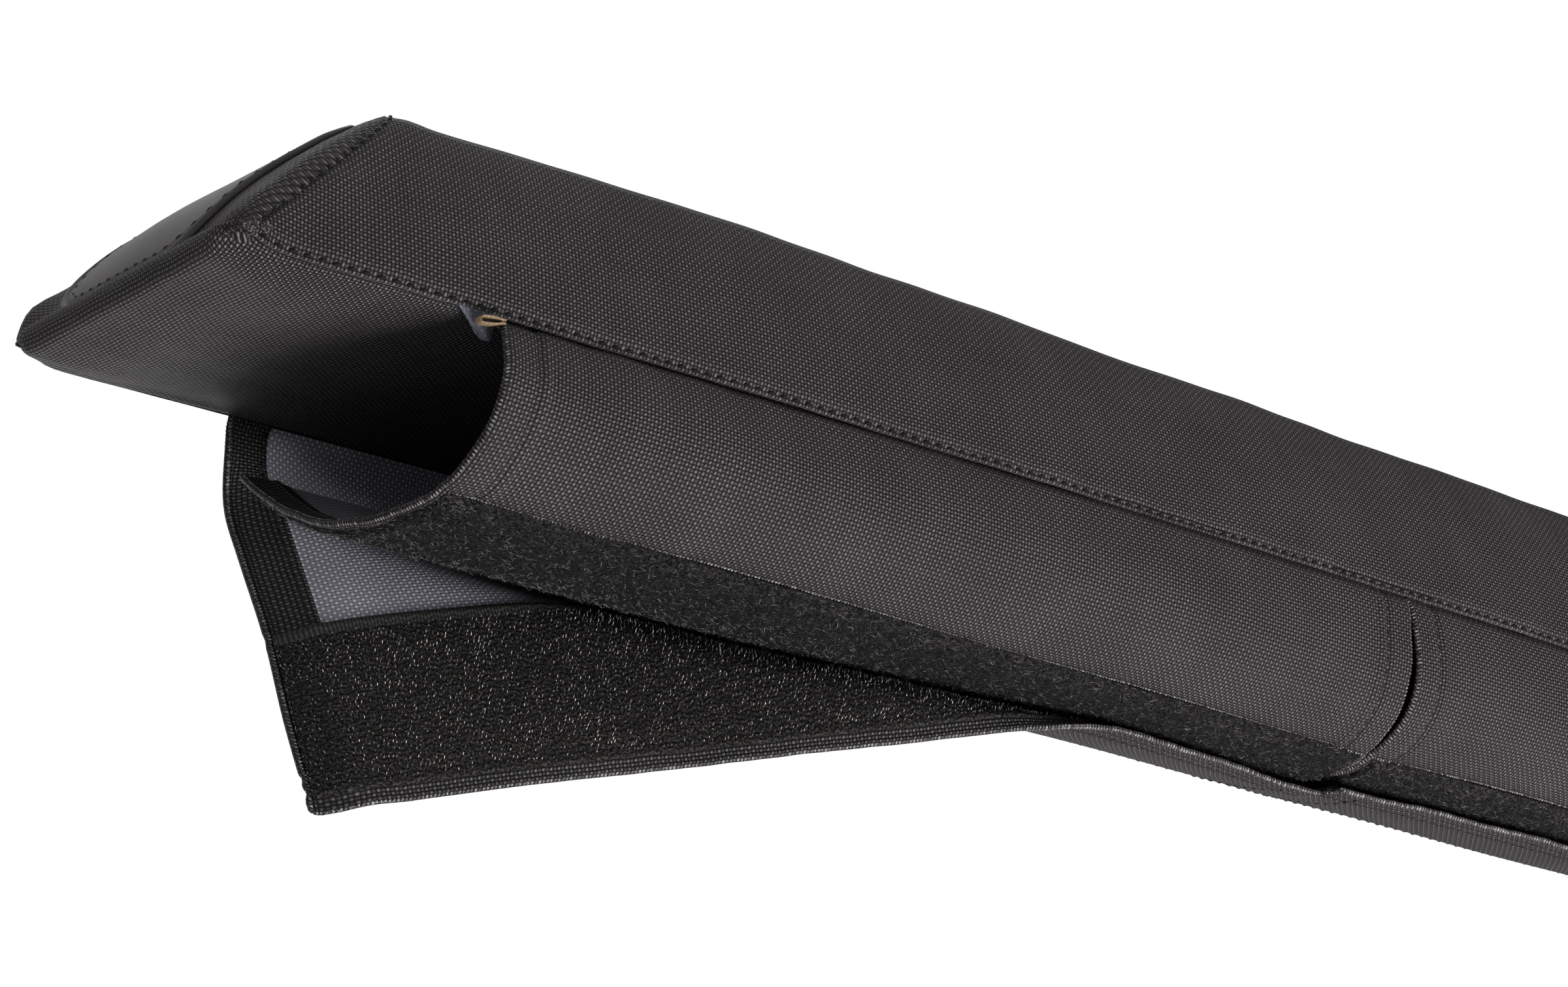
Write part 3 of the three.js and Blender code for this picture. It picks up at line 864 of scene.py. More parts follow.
def scatter(outer, normals, marks, count):
    """Random places on a grid: points, their normals and cloth coordinates."""
    rows, columns = outer.shape[:2]
    u = random.uniform(0.3, rows - 1.3, count)
    v = random.uniform(0.3, columns - 1.3, count)
    return between(outer, u, v), unit(between(normals, u, v)), between(marks, u, v)


def add_curled(piece, root, up, marks, length, radius):
    """Loose curls at the given roots."""
    count = len(root)
    heading = unit(np.cross(up, random.normal(size=(count, 3))))
    second = unit(np.cross(up, random.normal(size=(count, 3))))
    size = length * random.uniform(0.5, 1.2, (count, 1))
    middle = root + up * size * 0.28 + heading * size * 0.35
    tip = middle + up * size * random.uniform(-0.1, 0.22, (count, 1)) + second * size * 0.5
    add_curls(piece, root - up * 0.25, middle, tip, up, heading, radius, marks)


THIRDS = (0, 2 * math.pi / 3, 4 * math.pi / 3)


def add_spikes(piece, root, up, marks, length, radius):
    """Short straight fibres lying every way at the given roots: thin closed spikes."""
    count = len(root)
    heading = unit(np.cross(up, random.normal(size=(count, 3))))
    side = np.cross(up, heading)
    size = length * random.uniform(0.5, 1.2, (count, 1))
    tip = root + heading * size + up * size * random.uniform(0.0, 0.5, (count, 1))
    corners = []
    for angle in THIRDS:
        way = side * math.cos(angle) + up * math.sin(angle)
        corners.append(root - up * 0.1 + way * radius)
    points = np.stack([*corners, tip], axis=1).reshape(-1, 3)
    base = (np.arange(count) * 4)[:, None]
    tris = np.vstack([base + [0, 2, 1], base + [0, 1, 3], base + [1, 2, 3], base + [2, 0, 3]])
    piece.add(points, np.repeat(marks, 4, axis=0), [tris], [0])


def add_curls(piece, root, middle, tip, up, heading, radius, marks):
    """Closed bent spikes through root, middle and tip, all at once."""
    count = len(root)
    side = unit(np.cross(up, heading))
    rings = []
    for centre, width in ((root, 1.0), (middle, 0.85)):
        for angle in THIRDS:
            way = side * math.cos(angle) + heading * math.sin(angle)
            rings.append(centre + way * radius * width)
    points = np.stack([*rings, tip], axis=1).reshape(-1, 3)
    base = (np.arange(count) * 7)[:, None]
    quads = np.vstack([base + [0, 1, 4, 3], base + [1, 2, 5, 4], base + [2, 0, 3, 5]])
    tris = np.vstack([base + [0, 2, 1], base + [3, 4, 6], base + [4, 5, 6], base + [5, 3, 6]])
    piece.add(points, np.repeat(marks, 7, axis=0), [tris, quads], [0, 0])


EDGE_ROWS = (1.2, 5.2)
STRIP_ROW = 1.5


def far_width(right):
    """Width of a far flap. The closed one, on the right, reaches a little higher."""
    return FAR_WIDTH + (FAR_EXTRA if right else 0.0)


def far_flap(right, peeled, label):
    """Far flap: woven outside, grey coating inside, with turned hems."""
    width = far_width(right)
    strip_high = width - HOOK_EDGE
    strip_low = strip_high - HOOK_WIDTH + STRIP_ROW
    rows = [strip_high - row for row in EDGE_ROWS]
    columns = stations(-far_start, -SLIT_HALF, 3.0, [-far_start + HEM, -HEM - 1.5])
    distances = stations(0, width, 2.6, [strip_high, rows[1]])
    place = far_x if peeled else (lambda x, s: x + 0 * s)
    path_of = lambda x: far_path(x, width, peeled)
    points, normals = cloth_grid(columns, distances, path_of, place, -1, right)
    x, s = crossed(columns, distances)
    hem = hem_step(columns, far_start)[:, None]
    free = np.clip(s - 14, 0, 60) / 60
    loose = ease((-x - 110) / 60) if peeled else 0 * x
    dip = CORNER_DIP * ease((22 - x - far_start) / 22) * loose
    if not right:
        dip = dip + EDGE_DIP * ease((x + 75) / 65)
    way = unit(np.gradient(points, axis=1))
    points = points - way * (dip * ease((s - 50) / (width - 50)))[..., None]
    offset = 0.3 * ripple(x, s, 60, 61) * free + 0.5 * ripple(x, s, 110, 62) * free * loose
    offset += EDGE_WAVE * ripple(x, s * 0.1, 40, 66) * ease((s - width + 14) / 14)
    offset += 0.3 * bell(width - 1.8 - s, 1.5) - SEAM_TUCK * bell(s, SEAM_REACH)
    for line in rows:
        offset -= 0.55 * bell(s - line, 0.9)
    offset -= 0.3 * bell(strip_low - s, 1.2)
    offset += 0.18 * ripple(x, s * 0.3, 9, 63) * bell(width - s, 7)
    points = points + normals * offset[..., None]
    edge_fold = ease((s - (strip_high - 1)) / 1.2)
    thickness = FABRIC + FABRIC * 0.9 * np.maximum(hem * (1 - 0.5 * edge_fold), 0.5 * edge_fold)
    facing = (hem + 0 * s > 0.5) | (edge_fold > 0.5)
    marks = np.stack([x, s], axis=-1)
    piece = cloth_piece(f"far_flap_cloth_{label}", points, normals, thickness, marks, 1, facing, 2)
    inner = points - normals * thickness[..., None]
    stitches = Piece(f"far_flap_stitches_{label}")
    for line in (-far_start + HEM - 1.5, -SLIT_HALF - HEM + 1.5):
        i = nearest(columns, line)
        add_stitches(stitches, inner[i], -normals[i], sink=0.05)
        add_stitches(stitches, points[i], normals[i], sink=0.15)
    for line in (*rows, strip_low):
        j = nearest(distances, line)
        add_stitches(stitches, points[:, j], normals[:, j], radius=0.46, sink=0.12)
    edges = Piece(f"far_flap_edges_{label}")
    sheet_edges(edges, points, normals, thickness, [(True, 0, 1), (True, -1, -2), (False, -1, -2)])
    spread = 1.0 if peeled else SHUT_SPREAD
    strip, hooks = hook_strip(columns, distances, inner, normals, width, label, spread)
    return piece, stitches, strip, hooks, edges


def hook_strip(columns, distances, inner, normals, width, label, spread):
    """Hook tape on the inner face of the far flap, with hooks set wider where it is shut."""
    low, high = width - HOOK_EDGE - HOOK_WIDTH, width - HOOK_EDGE
    rows = stations(low, high, 2.4, [low + 4])
    along = stations(-far_start + 1, -SLIT_HALF - 1, 3.0)
    outer = resample(inner, columns, distances, along, rows)
    out = -resample(normals, columns, distances, along, rows)
    x, s = crossed(along, rows)
    to_edge = np.minimum(s - low, high - s)
    rise = 0.35 + 0.35 * ease(to_edge / 1.2)
    face = outer + out * rise[..., None]
    marks = np.stack([x, s - low], axis=-1)
    tape = cloth_piece(f"hook_tape_{label}", face, out, rise - 0.12, marks)
    hooks = Piece(f"hook_teeth_{label}")
    add_hooks(hooks, face, out, along, rows, marks, spread)
    return tape, hooks


def resample(grid, columns, distances, along, rows):
    """Grid values at other columns and distances."""
    u = np.interp(along, columns, np.arange(len(columns)))
    v = np.interp(rows, distances, np.arange(len(distances)))
    u, v = crossed(u, v)
    return between(grid, u.ravel(), v.ravel()).reshape(*u.shape, 3)


HOOK_PITCH_X = 1.15
HOOK_PITCH_S = 1.1
SHUT_SPREAD = 1.6
HOOK_RADIUS = 0.085
SELVEDGE = 4.0
ZIGZAG = 2.4


def add_hooks(piece, face, out, along, rows, marks, spread):
    """Rows of bent hooks on the tape, staggered and a little uneven."""
    x = np.arange(along[0] + 1.2, along[-1] - 1.2, HOOK_PITCH_X * spread)
    s = np.arange(rows[0] + SELVEDGE, rows[-1] - 1.5, HOOK_PITCH_S * spread)
    grid_x, grid_s = crossed(x, s)
    stagger = (np.arange(len(s)) % 2) * HOOK_PITCH_X * spread / 2
    grid_x = grid_x + stagger + random.normal(0, 0.16, grid_x.shape)
    grid_s = grid_s + random.normal(0, 0.14, grid_s.shape)
    u = np.interp(grid_x.ravel(), along, np.arange(len(along)))
    v = np.interp(grid_s.ravel(), rows, np.arange(len(rows)))
    root, up = between(face, u, v), unit(between(out, u, v))
    tangent = unit(between(np.gradient(face, axis=1), u, v))
    size = (len(root), 1)
    turn = random.normal(0, 0.5, size) + np.where(random.uniform(size=size) < 0.5, 0, math.pi)
    heading = tangent * np.cos(turn) + np.cross(up, tangent) * np.sin(turn)
    middle = root + up * random.uniform(0.55, 1.0, size) + heading * 0.2
    tip = middle + heading * 0.42 - up * 0.2
    add_curls(piece, root - up * 0.2, middle, tip, up, heading, HOOK_RADIUS, between(marks, u, v))


# Seam allowance and folded tape at the start of each near flap

TAB_DROP = 7.0
TAB_THICKNESS = 0.5


def seam_tab(side, label):
    """A raw end of coated cloth with two small pleats."""
    low, high = box_of(f"seam_tab_{label}")
    a, d = crossed(np.linspace(0, 1, 14), np.linspace(0, 1, 12))
    width = high.x - low.x
    drop = TAB_DROP * (0.72 + 0.28 * np.sin(math.pi * a) ** 0.8)
    start = high.x if side < 0 else low.x
    x = start + side * a * width * (1 - 0.55 * d)
    z = high.z - d * drop
    y = (low.y + high.y) / 2 + 0.8 * np.sin(a * 7 + d * 2) * d + 0.5 * d
    points = np.stack([x, y, z], axis=-1)
    normals = grid_normals(points, np.array([0, -1.0, 0]))
    marks = np.stack([x, z], axis=-1)
    return cloth_piece(f"seam_tab_cloth_{label}", points, normals, TAB_THICKNESS, marks)


TAPE_GAP = 2.2
TAPE_THICKNESS = 0.45
TAPE_SLANT = 0.14


def seam_tape(side, label):
    """Narrow tape doubled back on itself."""
    low, high = box_of(f"seam_tape_{label}")
    start = high.x if side < 0 else low.x
    length = high.x - low.x
    radius = TAPE_GAP / 2
    middle = high.z - TAPE_GAP
    turn = np.linspace(-math.pi / 2, math.pi / 2, 11)
    straight = np.linspace(0, length - radius, 8)[:-1]
    reach = np.concatenate([straight, length - radius + radius * np.cos(turn), straight[::-1]])
    lift = np.concatenate([np.full(7, -radius), radius * np.sin(turn), np.full(7, radius)])
    lift = lift * (0.55 + 0.45 * ease(reach / length * 2))
    across = np.linspace(0, 1, 6)
    x, y = crossed(start + side * reach, low.y + across * (high.y - low.y))
    lift, slant = (value[:, None] + 0 * x for value in (lift, middle - TAPE_SLANT * reach))
    points = np.stack([x, y, slant + lift], axis=-1)
    normals = grid_normals(points, points - np.stack([x.mean() + 0 * x, y, slant], axis=-1))
    marks = np.stack(crossed(np.arange(len(reach)) * 0.6, across * 3), axis=-1)
    return cloth_piece(f"seam_tape_fold_{label}", points, normals, TAPE_THICKNESS, marks)


FOAM_INSET = 2.0
FOAM_END = 2.5
FOAM_EASE = 0.02


def foam_block():
    """The foam inside the cover, with eased edges."""
    line, travelled = section(inset=FOAM_INSET)
    y, z = picked(np.linspace(0, travelled[-1], 64), travelled, line).T
    bottom = np.linspace(y[-1], y[0], 24)[1:-1]
    ring_y = np.concatenate([y, bottom])
    ring_z = np.concatenate([z, np.full(len(bottom), z[0])])
    rings = []
    for share in (-1, -0.997, *np.linspace(-0.99, 0.99, 40), 0.997, 1):
        reach = (end_reach(ring_z) - FOAM_END) * share
        shrink = 1 - FOAM_EASE * (abs(share) == 1)
        height = FOAM_INSET + (ring_z - FOAM_INSET) * shrink
        rings.append(np.stack([reach, ring_y * shrink, height], axis=1))
    piece = Piece("foam_block")
    first, last = rings[0].mean(axis=0), rings[-1].mean(axis=0)
    add_rings(piece, first, rings, last, lambda points: points[:, :2])
    return piece


# Materials

class Nodes:
    """Short calls for the nodes of one tree."""

    def __init__(self, tree):
        self.tree = tree
        tree.nodes.clear()

    def put(self, socket, value):
        """A value or another socket into an input."""
        if isinstance(value, bpy.types.NodeSocket):
            self.tree.links.new(value, socket)
        else:
            socket.default_value = value

    def node(self, kind, inputs, **settings):
        """The outputs of a new node with these settings and inputs."""
        made = self.tree.nodes.new("ShaderNode" + kind)
        for name, value in settings.items():
            setattr(made, name, value)
        for key, value in inputs.items():
            self.put(made.inputs[key], value)
        return made.outputs

    def math(self, operation, *values):
        """One Math node."""
        return self.node("Math", dict(enumerate(values)), operation=operation)[0]

    def seen(self):
        """1 for rays of the camera, of reflections and of transmission, otherwise 0."""
        path = self.node("LightPath", {})
        seen = self.math("MAXIMUM", path["Is Camera Ray"], path["Is Glossy Ray"])
        return self.math("MAXIMUM", seen, path["Is Transmission Ray"])


class Finish(Nodes):
    """A material in the making."""

    def __init__(self, name):
        self.material = bpy.data.materials.new(name)
        self.material.use_nodes = True
        super().__init__(self.material.node_tree)
        self.shader = self.tree.nodes.new("ShaderNodeBsdfPrincipled")
        self.node("OutputMaterial", {"Surface": self.shader.outputs[0]})

    def times(self, first, *others):
        """The product of two values or more."""
        for other in others:
            first = self.math("MULTIPLY", first, other)
        return first

    def place(self):
        """Cloth coordinates in millimetres."""
        return self.node("UVMap", {}, uv_map="cloth")[0]

    def split(self, vector):
        """The first two coordinates of a vector."""
        parts = self.node("SeparateXYZ", {0: vector})
        return parts[0], parts[1]

    def noise(self, vector, scale, detail=2.0, roughness=0.5):
        """Noise with about one lump each 1/scale millimetres."""
        inputs = {"Vector": vector, "Scale": scale, "Detail": detail, "Roughness": roughness}
        return self.node("TexNoise", inputs)[0]

    def shaken(self, vector, amount, scale):
        """Coordinates shifted a little by noise, so that threads aren't ruled lines."""
        shift = self.node("TexNoise", {"Vector": vector, "Scale": scale})[1]
        inputs = {0: shift, 1: (amount, amount, 0), 2: vector}
        return self.node("VectorMath", inputs, operation="MULTIPLY_ADD")[0]

    def white(self, *values):
        """A random value for each whole number given."""
        joined = self.node("CombineXYZ", dict(enumerate(values)))[0]
        return self.node("TexWhiteNoise", {"Vector": joined}, noise_dimensions="2D")[0]

    def span(self, value, low, high, to_low=0.0, to_high=1.0):
        """A value mapped and held between two limits."""
        return self.node("MapRange", dict(enumerate((value, low, high, to_low, to_high))))[0]

    def mix(self, share, first, second):
        """Two colours mixed by a share."""
        return self.node("Mix", {0: share, 6: first, 7: second}, data_type="RGBA")[2]

    def bump(self, height, distance, normal=None):
        """A bump whose full height is distance, in millimetres."""
        inputs = {"Strength": 1.0, "Distance": distance * MM, "Height": height}
        if normal is not None:
            inputs["Normal"] = normal
        return self.node("Bump", inputs)[0]

    def done(self, color, normal=None, **settings):
        """Colour, normal and plain settings on the shader."""
        self.put(self.shader.inputs["Base Color"], color)
        if normal is not None:
            self.put(self.shader.inputs["Normal"], normal)
        for name, value in settings.items():
            self.put(self.shader.inputs[name.replace("_", " ")], value)
        return self.material


def rgb(red, green, blue):
    return (red, green, blue, 1.0)


ARCH_SHARE = 0.94
LOWER_SET = -0.62


def weave(finish, vector, pitch):
    """Height of a plain weave, and a random value for each of its threads."""
    cells, parts = [], []
    for value in finish.split(vector):
        value = finish.math("DIVIDE", value, pitch)
        cell = finish.math("FLOOR", value)
        cells.append(cell)
        parts.append(finish.math("SUBTRACT", finish.math("SUBTRACT", value, cell), 0.5))
    odd = finish.math("ABSOLUTE", finish.math("MODULO", finish.math("ADD", *cells), 2.0))
    even = finish.math("SUBTRACT", 1.0, odd)

    def pick(first, second):
        return finish.math("MULTIPLY_ADD", second, odd, finish.times(first, even))

    def rounded(part, turn, power):
        wave = finish.math("COSINE", finish.times(part, turn))
        return finish.math("POWER", finish.math("MAXIMUM", wave, 0.0), power)

    ridge = rounded(pick(*parts), math.pi, 0.9)
    arch = rounded(pick(*parts[::-1]), math.pi * ARCH_SHARE, 0.65)
    height = finish.times(ridge, arch, finish.math("MULTIPLY_ADD", odd, LOWER_SET, 1.0))
    return height, pick(finish.white(cells[0], 3.0), finish.white(cells[1], 17.0))


def woven(name, dark, light, bump_depth=0.8):
    """Plain-weave cloth: rounded threads, painted shade in the gaps between them and a few pale
    fibres.
    """
    finish = Finish(name)
    place = finish.place()
    vector = finish.shaken(finish.shaken(place, 0.5, 0.12), 0.16, 0.9)
    height, thread = weave(finish, vector, WEAVE_PITCH)
    fine = finish.noise(place, 3.2, 3.0, 0.7)
    patchy = finish.noise(place, 0.035, 3.0)
    tone = finish.times(height, finish.span(thread, 0, 1, 0.87, 1.07),
                        finish.span(patchy, 0.3, 0.7, 0.88, 1.12),
                        finish.span(fine, 0.3, 0.75, 0.8, 1.3))
    specks = finish.math("GREATER_THAN", finish.noise(place, 1.9, 1.0), 0.735)
    # Painted shade: the colour runs to dark where the weave is low, in the gaps and where a thread
    # passes under.
    color = finish.mix(tone, dark, light)
    color = finish.mix(finish.times(specks, height, 0.5), color, rgb(0.4, 0.38, 0.38))
    normal = finish.bump(height, bump_depth, finish.bump(fine, 0.07))
    return finish.done(color, normal, Roughness=0.68, Specular_IOR_Level=0.02)


def coated(name, color, shadow):
    """Grey coating on the cloth's back, with the weave showing through softly."""
    finish = Finish(name)
    place = finish.place()
    height, _ = weave(finish, finish.shaken(place, 0.4, 0.12), WEAVE_PITCH * 1.02)
    patchy = finish.noise(place, 0.08, 3.0)
    tone = finish.times(finish.math("MULTIPLY_ADD", height, 0.8, 0.06),
                        finish.span(patchy, 0.3, 0.7, 0.85, 1.15))
    mixed = finish.mix(tone, shadow, color)
    return finish.done(mixed, finish.bump(height, 0.16), Roughness=0.5, Specular_IOR_Level=0.06)


def rubber():
    """Smooth dark rubber sheet with a faint grain and a rubbed sheen."""
    finish = Finish("rubber_sheet")
    place = finish.place()
    wear = finish.noise(place, 0.07, 4.0, 0.6)
    rubbed = finish.span(wear, 0.35, 0.7)
    color = finish.mix(rubbed, rgb(0.036, 0.033, 0.034), rgb(0.055, 0.051, 0.052))
    normal = finish.bump(finish.noise(place, 2.4, 4.0, 0.6), 0.03)
    rough = finish.span(wear, 0.3, 0.7, 0.62, 0.78)
    return finish.done(color, normal, Roughness=rough, Specular_IOR_Level=0.05)


def pile():
    """Brushed loop mat: tangled dark fibres with shadow between the clumps."""
    finish = Finish("loop_mat")
    place = finish.place()
    tangle = finish.noise(finish.shaken(place, 1.8, 0.8), 1.3, 6.0, 0.8)
    clumps = finish.noise(place, 0.28, 3.0, 0.6)
    tone = finish.times(finish.span(tangle, 0.44, 0.66), finish.span(clumps, 0.3, 0.7, 0.5, 1.3))
    color = finish.mix(tone, rgb(0.001, 0.001, 0.001), rgb(0.038, 0.035, 0.0345))
    normal = finish.bump(tangle, 0.9, finish.bump(clumps, 0.9))
    return finish.done(color, normal, Roughness=0.9, Specular_IOR_Level=0.04)


def fibre(name, dark, light, rarity, roughness, specular=0.2):
    """Fibres in shades from dark to light; a higher rarity leaves fewer light ones."""
    finish = Finish(name)
    island = finish.node("NewGeometry", {})["Random Per Island"]
    color = finish.mix(finish.math("POWER", island, rarity), dark, light)
    return finish.done(color, Roughness=roughness, Specular_IOR_Level=specular)


RIB_STEP = 0.9


def hook_tape_finish():
    """Hook tape ground: zigzag rows of knots, with a ribbed selvedge on its upper edge."""
    finish = Finish("hook_tape_ground")
    place = finish.place()
    u, v = finish.split(finish.shaken(place, 0.5, 0.5))

    def ridges(value, step):
        return finish.math("ABSOLUTE", finish.math("SINE", finish.times(value, math.pi / step)))

    zigzag = finish.math("PINGPONG", finish.math("DIVIDE", u, ZIGZAG), 1.0)
    rows = ridges(finish.math("MULTIPLY_ADD", zigzag, ZIGZAG * 0.45, v), HOOK_PITCH_S * 1.5)
    edge = finish.span(v, SELVEDGE - 0.4, SELVEDGE + 0.2, 1.0, 0.0)
    grain = finish.noise(place, 1.6, 4.0, 0.75)
    tone = finish.times(finish.math("MULTIPLY_ADD", rows, 0.6, 0.4),
                        finish.span(grain, 0.46, 0.66, 0.0, 1.3))
    color = finish.mix(tone, rgb(0.0015, 0.0015, 0.0014), rgb(0.05, 0.046, 0.044))
    ribbed = finish.mix(ridges(u, RIB_STEP), rgb(0.005, 0.005, 0.005), rgb(0.045, 0.043, 0.042))
    normal = finish.bump(rows, 0.2, finish.bump(grain, 0.5))
    color = finish.mix(edge, color, ribbed)
    return finish.done(color, normal, Roughness=0.7, Specular_IOR_Level=0.05)


def thread_finish(name, light):
    """Black sewing thread with a slight twist."""
    finish = Finish(name)
    twist = finish.noise(finish.node("TexCoord", {})["Object"], 2500, 2.0)
    color = finish.mix(twist, rgb(0.002, 0.002, 0.002), light)
    return finish.done(color, finish.bump(twist, 0.05), Roughness=0.6, Specular_IOR_Level=0.05)


def tape_finish():
    """Tan woven tape."""
    finish = Finish("tan_tape")
    height, thread = weave(finish, finish.place(), 0.45)
    tone = finish.times(height, finish.span(thread, 0, 1, 0.7, 1.1))
    color = finish.mix(tone, rgb(0.08, 0.05, 0.03), rgb(0.36, 0.26, 0.16))
    return finish.done(color, finish.bump(height, 0.12), Roughness=0.75, Specular_IOR_Level=0.15)


def foam_finish():
    """Closed-cell foam with small pores."""
    finish = Finish("foam_cells")
    cells = finish.noise(finish.node("TexCoord", {})["Object"], 900, 3.0)
    color = finish.mix(cells, rgb(0.03, 0.03, 0.032), rgb(0.07, 0.07, 0.073))
    return finish.done(color, finish.bump(cells, 0.3), Roughness=0.95)


def finishes():
    """Every material, by a short name."""
    return {
        "cloth": woven("cover_weave", rgb(0.0025, 0.0022, 0.0024), rgb(0.1, 0.09, 0.094)),
        # The underside's copy of the cover weave has more contrast: deeper painted shade in the
        # gaps and lighter thread tops.
        "under": woven("base_weave", rgb(0.0005, 0.0005, 0.0005), rgb(0.135, 0.122, 0.127), 1.1),
        "turned": woven("facing_weave", rgb(0.002, 0.002, 0.002), rgb(0.1, 0.092, 0.095)),
        "lining": coated("grey_coating", rgb(0.47, 0.46, 0.52), rgb(0.066, 0.064, 0.077)),
        # Painted shade: a darker copy of the grey coating, which paints shade on the seam tabs.
        "shaded": coated("shaded_coating", rgb(0.1, 0.1, 0.12), rgb(0.04, 0.04, 0.05)),
        "sheet": rubber(),
        "mat": pile(),
        # Partly painted highlight: the rare light curls are pale fibres and also stand in for
        # glints on the pile.
        "curls": fibre("loop_fibres_and_painted_glints", rgb(0.005, 0.0048, 0.0045), rgb(0.32, 0.3, 0.296),
                       7, 0.6, 0.05),
        "fuzz": fibre("loop_fuzz_fibres", rgb(0.003, 0.003, 0.003), rgb(0.15, 0.14, 0.138),
                      2.2, 0.7, 0.05),
        "tape": hook_tape_finish(),
        # Painted highlight: the rare light hooks stand in for glints on the glossy hooks.
        "teeth": fibre("hook_fibres_painted_glints", rgb(0.004, 0.0038, 0.0036), rgb(0.7, 0.66, 0.64),
                       3, 0.25, 0.3),
        "folds": fibre("fold_threads", rgb(0.03, 0.028, 0.029), rgb(0.19, 0.18, 0.185),
                       1.2, 0.6, 0.05),
        "ends": fibre("frayed_ends", rgb(0.02, 0.019, 0.019), rgb(0.4, 0.38, 0.38), 2, 0.5),
        "thread": thread_finish("sewing_thread", rgb(0.02, 0.019, 0.019)),
        # Partly painted shade: the seam thread is darker than the other thread, so that its dashes
        # also paint the shade of the seam groove.
        "dark_thread": thread_finish("seam_thread_and_painted_shade", rgb(0.006, 0.006, 0.006)),
        "tan": tape_finish(),
        "foam": foam_finish(),
    }


CORNER_FRAY = 90
# Seam dashes are thicker than other stitches, so that they also paint the shade in the seam groove.
SEAM_DASH = {"length": 2.6, "radius": 0.5}
PATCH_SEAM = 3.4
PATCH_DASH = {"step": 5.0, "length": 2.6, "radius": 0.4, "sink": 0.2}


def build_block(look):
    """Foam, its long cover, the underside and the threads of their seams."""
    block = foam_block().make([look["foam"]], "foam", ["foam_core"])

    piece, points, normals = cover_wrap()
    wrap = piece.make([look["cloth"], look["lining"]], "cover_fabric", ["cover_wrap"])
    girth = section()[1][-1]
    base = base_panel().make([look["under"], look["lining"]], "cover_fabric", ["base_panel"])

    # Real stitches along the seams, dark and thick enough to paint the shade of the seam groove as
    # well.
    seams = Piece("seam_stitches")
    clear = slice(3, -3)
    for j in (1, -2):
        add_stitches(seams, points[clear, j], normals[clear, j], sink=0.0, **SEAM_DASH)
    for i in (2, -3):
        add_stitches(seams, points[i, clear], normals[i, clear], sink=0.05, **SEAM_DASH)
    seams.make([look["dark_thread"]], "cover_fabric")
    fray = Piece("corner_fray")
    for rows in (slice(0, 8), slice(-8, None)):
        patch = points[rows, :6]
        roots = scatter(patch, normals[rows, :6], patch[..., :2], CORNER_FRAY)
        add_curled(fray, *roots, length=1.3, radius=0.07)
    fray.make([look["ends"]], "cover_fabric")
    return block, wrap


def build_end(look, side, label):
    """Cloth, folded corners and rubber patch of one bevelled end."""
    finish = [look["cloth"], look["lining"]]
    end = end_panel(side, label).make(finish, "cover_fabric", [f"end_panel_{label}"])
    corner_fold(side, label).make([look["cloth"]], "cover_fabric")
    end_patch(side, label).make([look["sheet"]], "rubber_patch", [f"end_patch_{label}"])
    dashes = Piece(f"patch_stitches_{label}")
    ring = even_loop(patch_outline(PATCH_SEAM), 140)
    ring = np.vstack([ring, ring[:1]])
    points, normals = patch_points(side, ring)
    add_stitches(dashes, points + normals * patch_depth(ring), normals, **PATCH_DASH)
    dashes.make([look["thread"]], "rubber_patch")


def build_flaps(look, side, label):
    """Both flaps of one half, their strips and the sewn ends beside them."""
    right = side > 0
    finish = [look["cloth"], look["lining"], look["turned"]]

    piece, dashes, fray, edges = near_flap(right, label)
    fray.make([look["ends"]], "cover_fabric")
    edges.make([look["folds"]], "cover_fabric")
    flap = piece.make(finish, "cover_fabric", [f"near_flap_{label}"])
    dashes.make([look["thread"]], "cover_fabric")
    strip, hairs, fuzz = loop_strip(right, label)
    strip.make([look["mat"]], "loop_pile", [f"loop_strip_{label}"])
    hairs.make([look["curls"]], "loop_pile")
    fuzz.make([look["fuzz"]], "loop_pile")

    piece, dashes, tape, hooks, edges = far_flap(right, not right, label)
    edges.make([look["folds"]], "cover_fabric")
    flap = piece.make(finish, "cover_fabric", [f"far_flap_{label}"])
    dashes.make([look["thread"]], "cover_fabric")
    tape.make([look["tape"]], "hook_pile", [f"hook_strip_{label}"])
    hooks.make([look["teeth"]], "hook_pile")

    # The seam tab wears the darker, painted-shade copy of the grey coating.
    seam_tab(side, label).make([look["shaded"]], "coated_lining", [f"seam_tab_{label}"])
    seam_tape(side, label).make([look["tan"]], "binding_tape", [f"seam_tape_{label}"])


def build():
    """Every piece, in its place and finish."""
    look = finishes()
    block, wrap = build_block(look)
    for side, label in ((-1, "left"), (1, "right")):
        build_end(look, side, label)
        build_flaps(look, side, label)


# Camera, floor and light

CAMERA_PLACE = (-695.0, -742.4, -281.0)
CAMERA_AZIMUTH = 55.12
CAMERA_ELEVATION = 17.12
CAMERA_ROLL = 5.1
CAMERA_LENS = 79.37
FLOOR_Z = -2400.0
FLOOR_HALF = 6000.0


def add_camera():
    data = bpy.data.cameras.new("camera")
    data.lens = CAMERA_LENS
    data.sensor_width = 36.0
    data.clip_start = 0.01
    camera = bpy.data.objects.new("camera", data)
    turn = Matrix.Rotation(math.radians(CAMERA_AZIMUTH - 90), 4, "Z")
    tilt = Matrix.Rotation(math.radians(90 + CAMERA_ELEVATION), 4, "X")
    roll = Matrix.Rotation(math.radians(CAMERA_ROLL), 4, "Z")
    camera.matrix_world = Matrix.Translation(Vector(CAMERA_PLACE) * MM) @ turn @ tilt @ roll
    bpy.context.scene.collection.objects.link(camera)
    bpy.context.scene.camera = camera


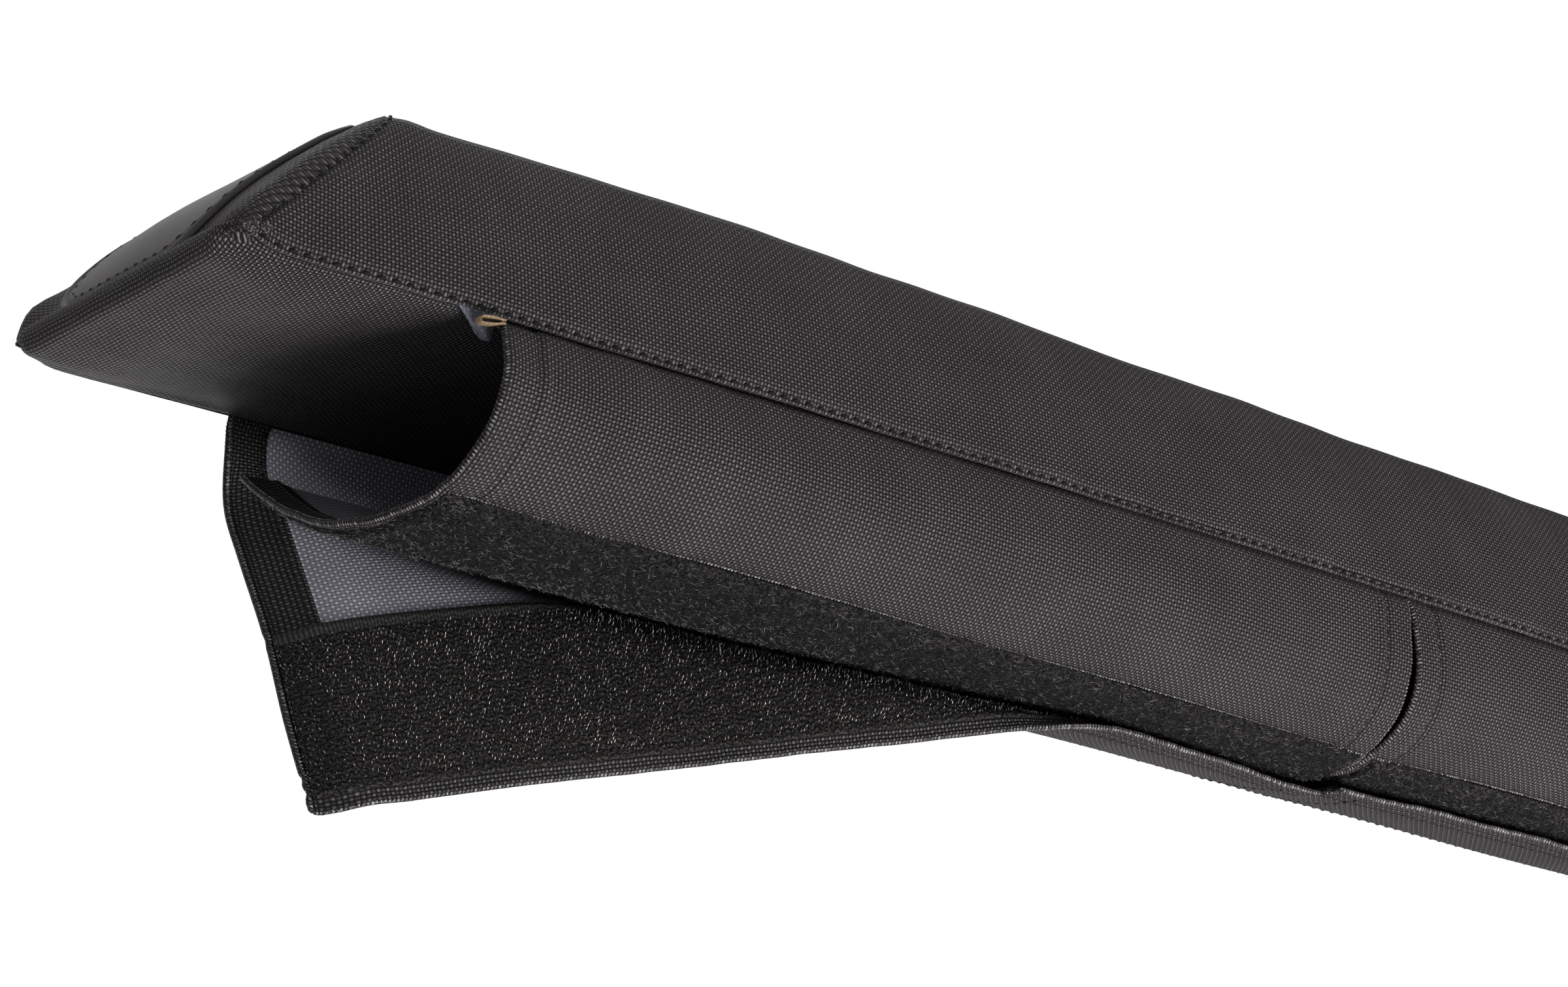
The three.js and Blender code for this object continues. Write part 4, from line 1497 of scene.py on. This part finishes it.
def add_light(name, place, target, size, power):
    """A soft square light at a place, looking at a target, both in millimetres."""
    data = bpy.data.lights.new(name, "AREA")
    data.shape = "SQUARE"
    data.size = size * MM
    data.energy = power
    lamp = bpy.data.objects.new(name, data)
    lamp.location = Vector(place) * MM
    aim = Vector(target) - Vector(place)
    lamp.rotation_mode = "QUATERNION"
    lamp.rotation_quaternion = aim.to_track_quat("-Z", "Y")
    bpy.context.scene.collection.objects.link(lamp)


def add_world(level):
    """White to the camera and in reflections, a plain grey light otherwise."""
    world = bpy.data.worlds.new("studio")
    world.use_nodes = True
    bpy.context.scene.world = world
    nodes = Nodes(world.node_tree)
    strength = nodes.node("MapRange", {0: nodes.seen(), 3: level, 4: 1.0})[0]
    back = nodes.node("Background", {0: rgb(1, 1, 1), 1: strength})[0]
    nodes.node("OutputWorld", {0: back})


def add_floor():
    """Pale plain floor below the part."""
    size = FLOOR_HALF * MM
    mesh = bpy.data.meshes.new("floor")
    corners = [(-size, -size), (size, -size), (size, size), (-size, size)]
    mesh.from_pydata([(x, y, FLOOR_Z * MM) for x, y in corners], [], [(0, 1, 2, 3)])
    floor = bpy.data.objects.new("floor", mesh)
    finish = Finish("floor_paint")
    glow = finish.times(finish.seen(), 0.6)
    paint = finish.done(rgb(0.86, 0.86, 0.86), Roughness=0.9,
                        Emission_Color=rgb(1, 1, 1), Emission_Strength=glow)
    mesh.materials.append(paint)
    bpy.context.scene.collection.objects.link(floor)


WORLD_LEVEL = 0.28

# Name, place, target, size and power of each light
LIGHTS = [
    ("key", (420, -1080, -930), (-60, 0, -30), 800, 69),
    ("fill", (-300, -1800, 250), (0, 0, 0), 1200, 4),
    ("side", (-1700, -300, 300), (-350, 0, 20), 800, 10),
    ("top", (200, 900, 1700), (0, 0, 0), 1500, 50),
    ("back", (400, 1800, 200), (0, 0, 0), 1300, 30),
]

add_camera()
build()
add_floor()
add_world(WORLD_LEVEL)
for light in LIGHTS:
    add_light(*light)

bpy.context.scene.view_settings.view_transform = "Standard"
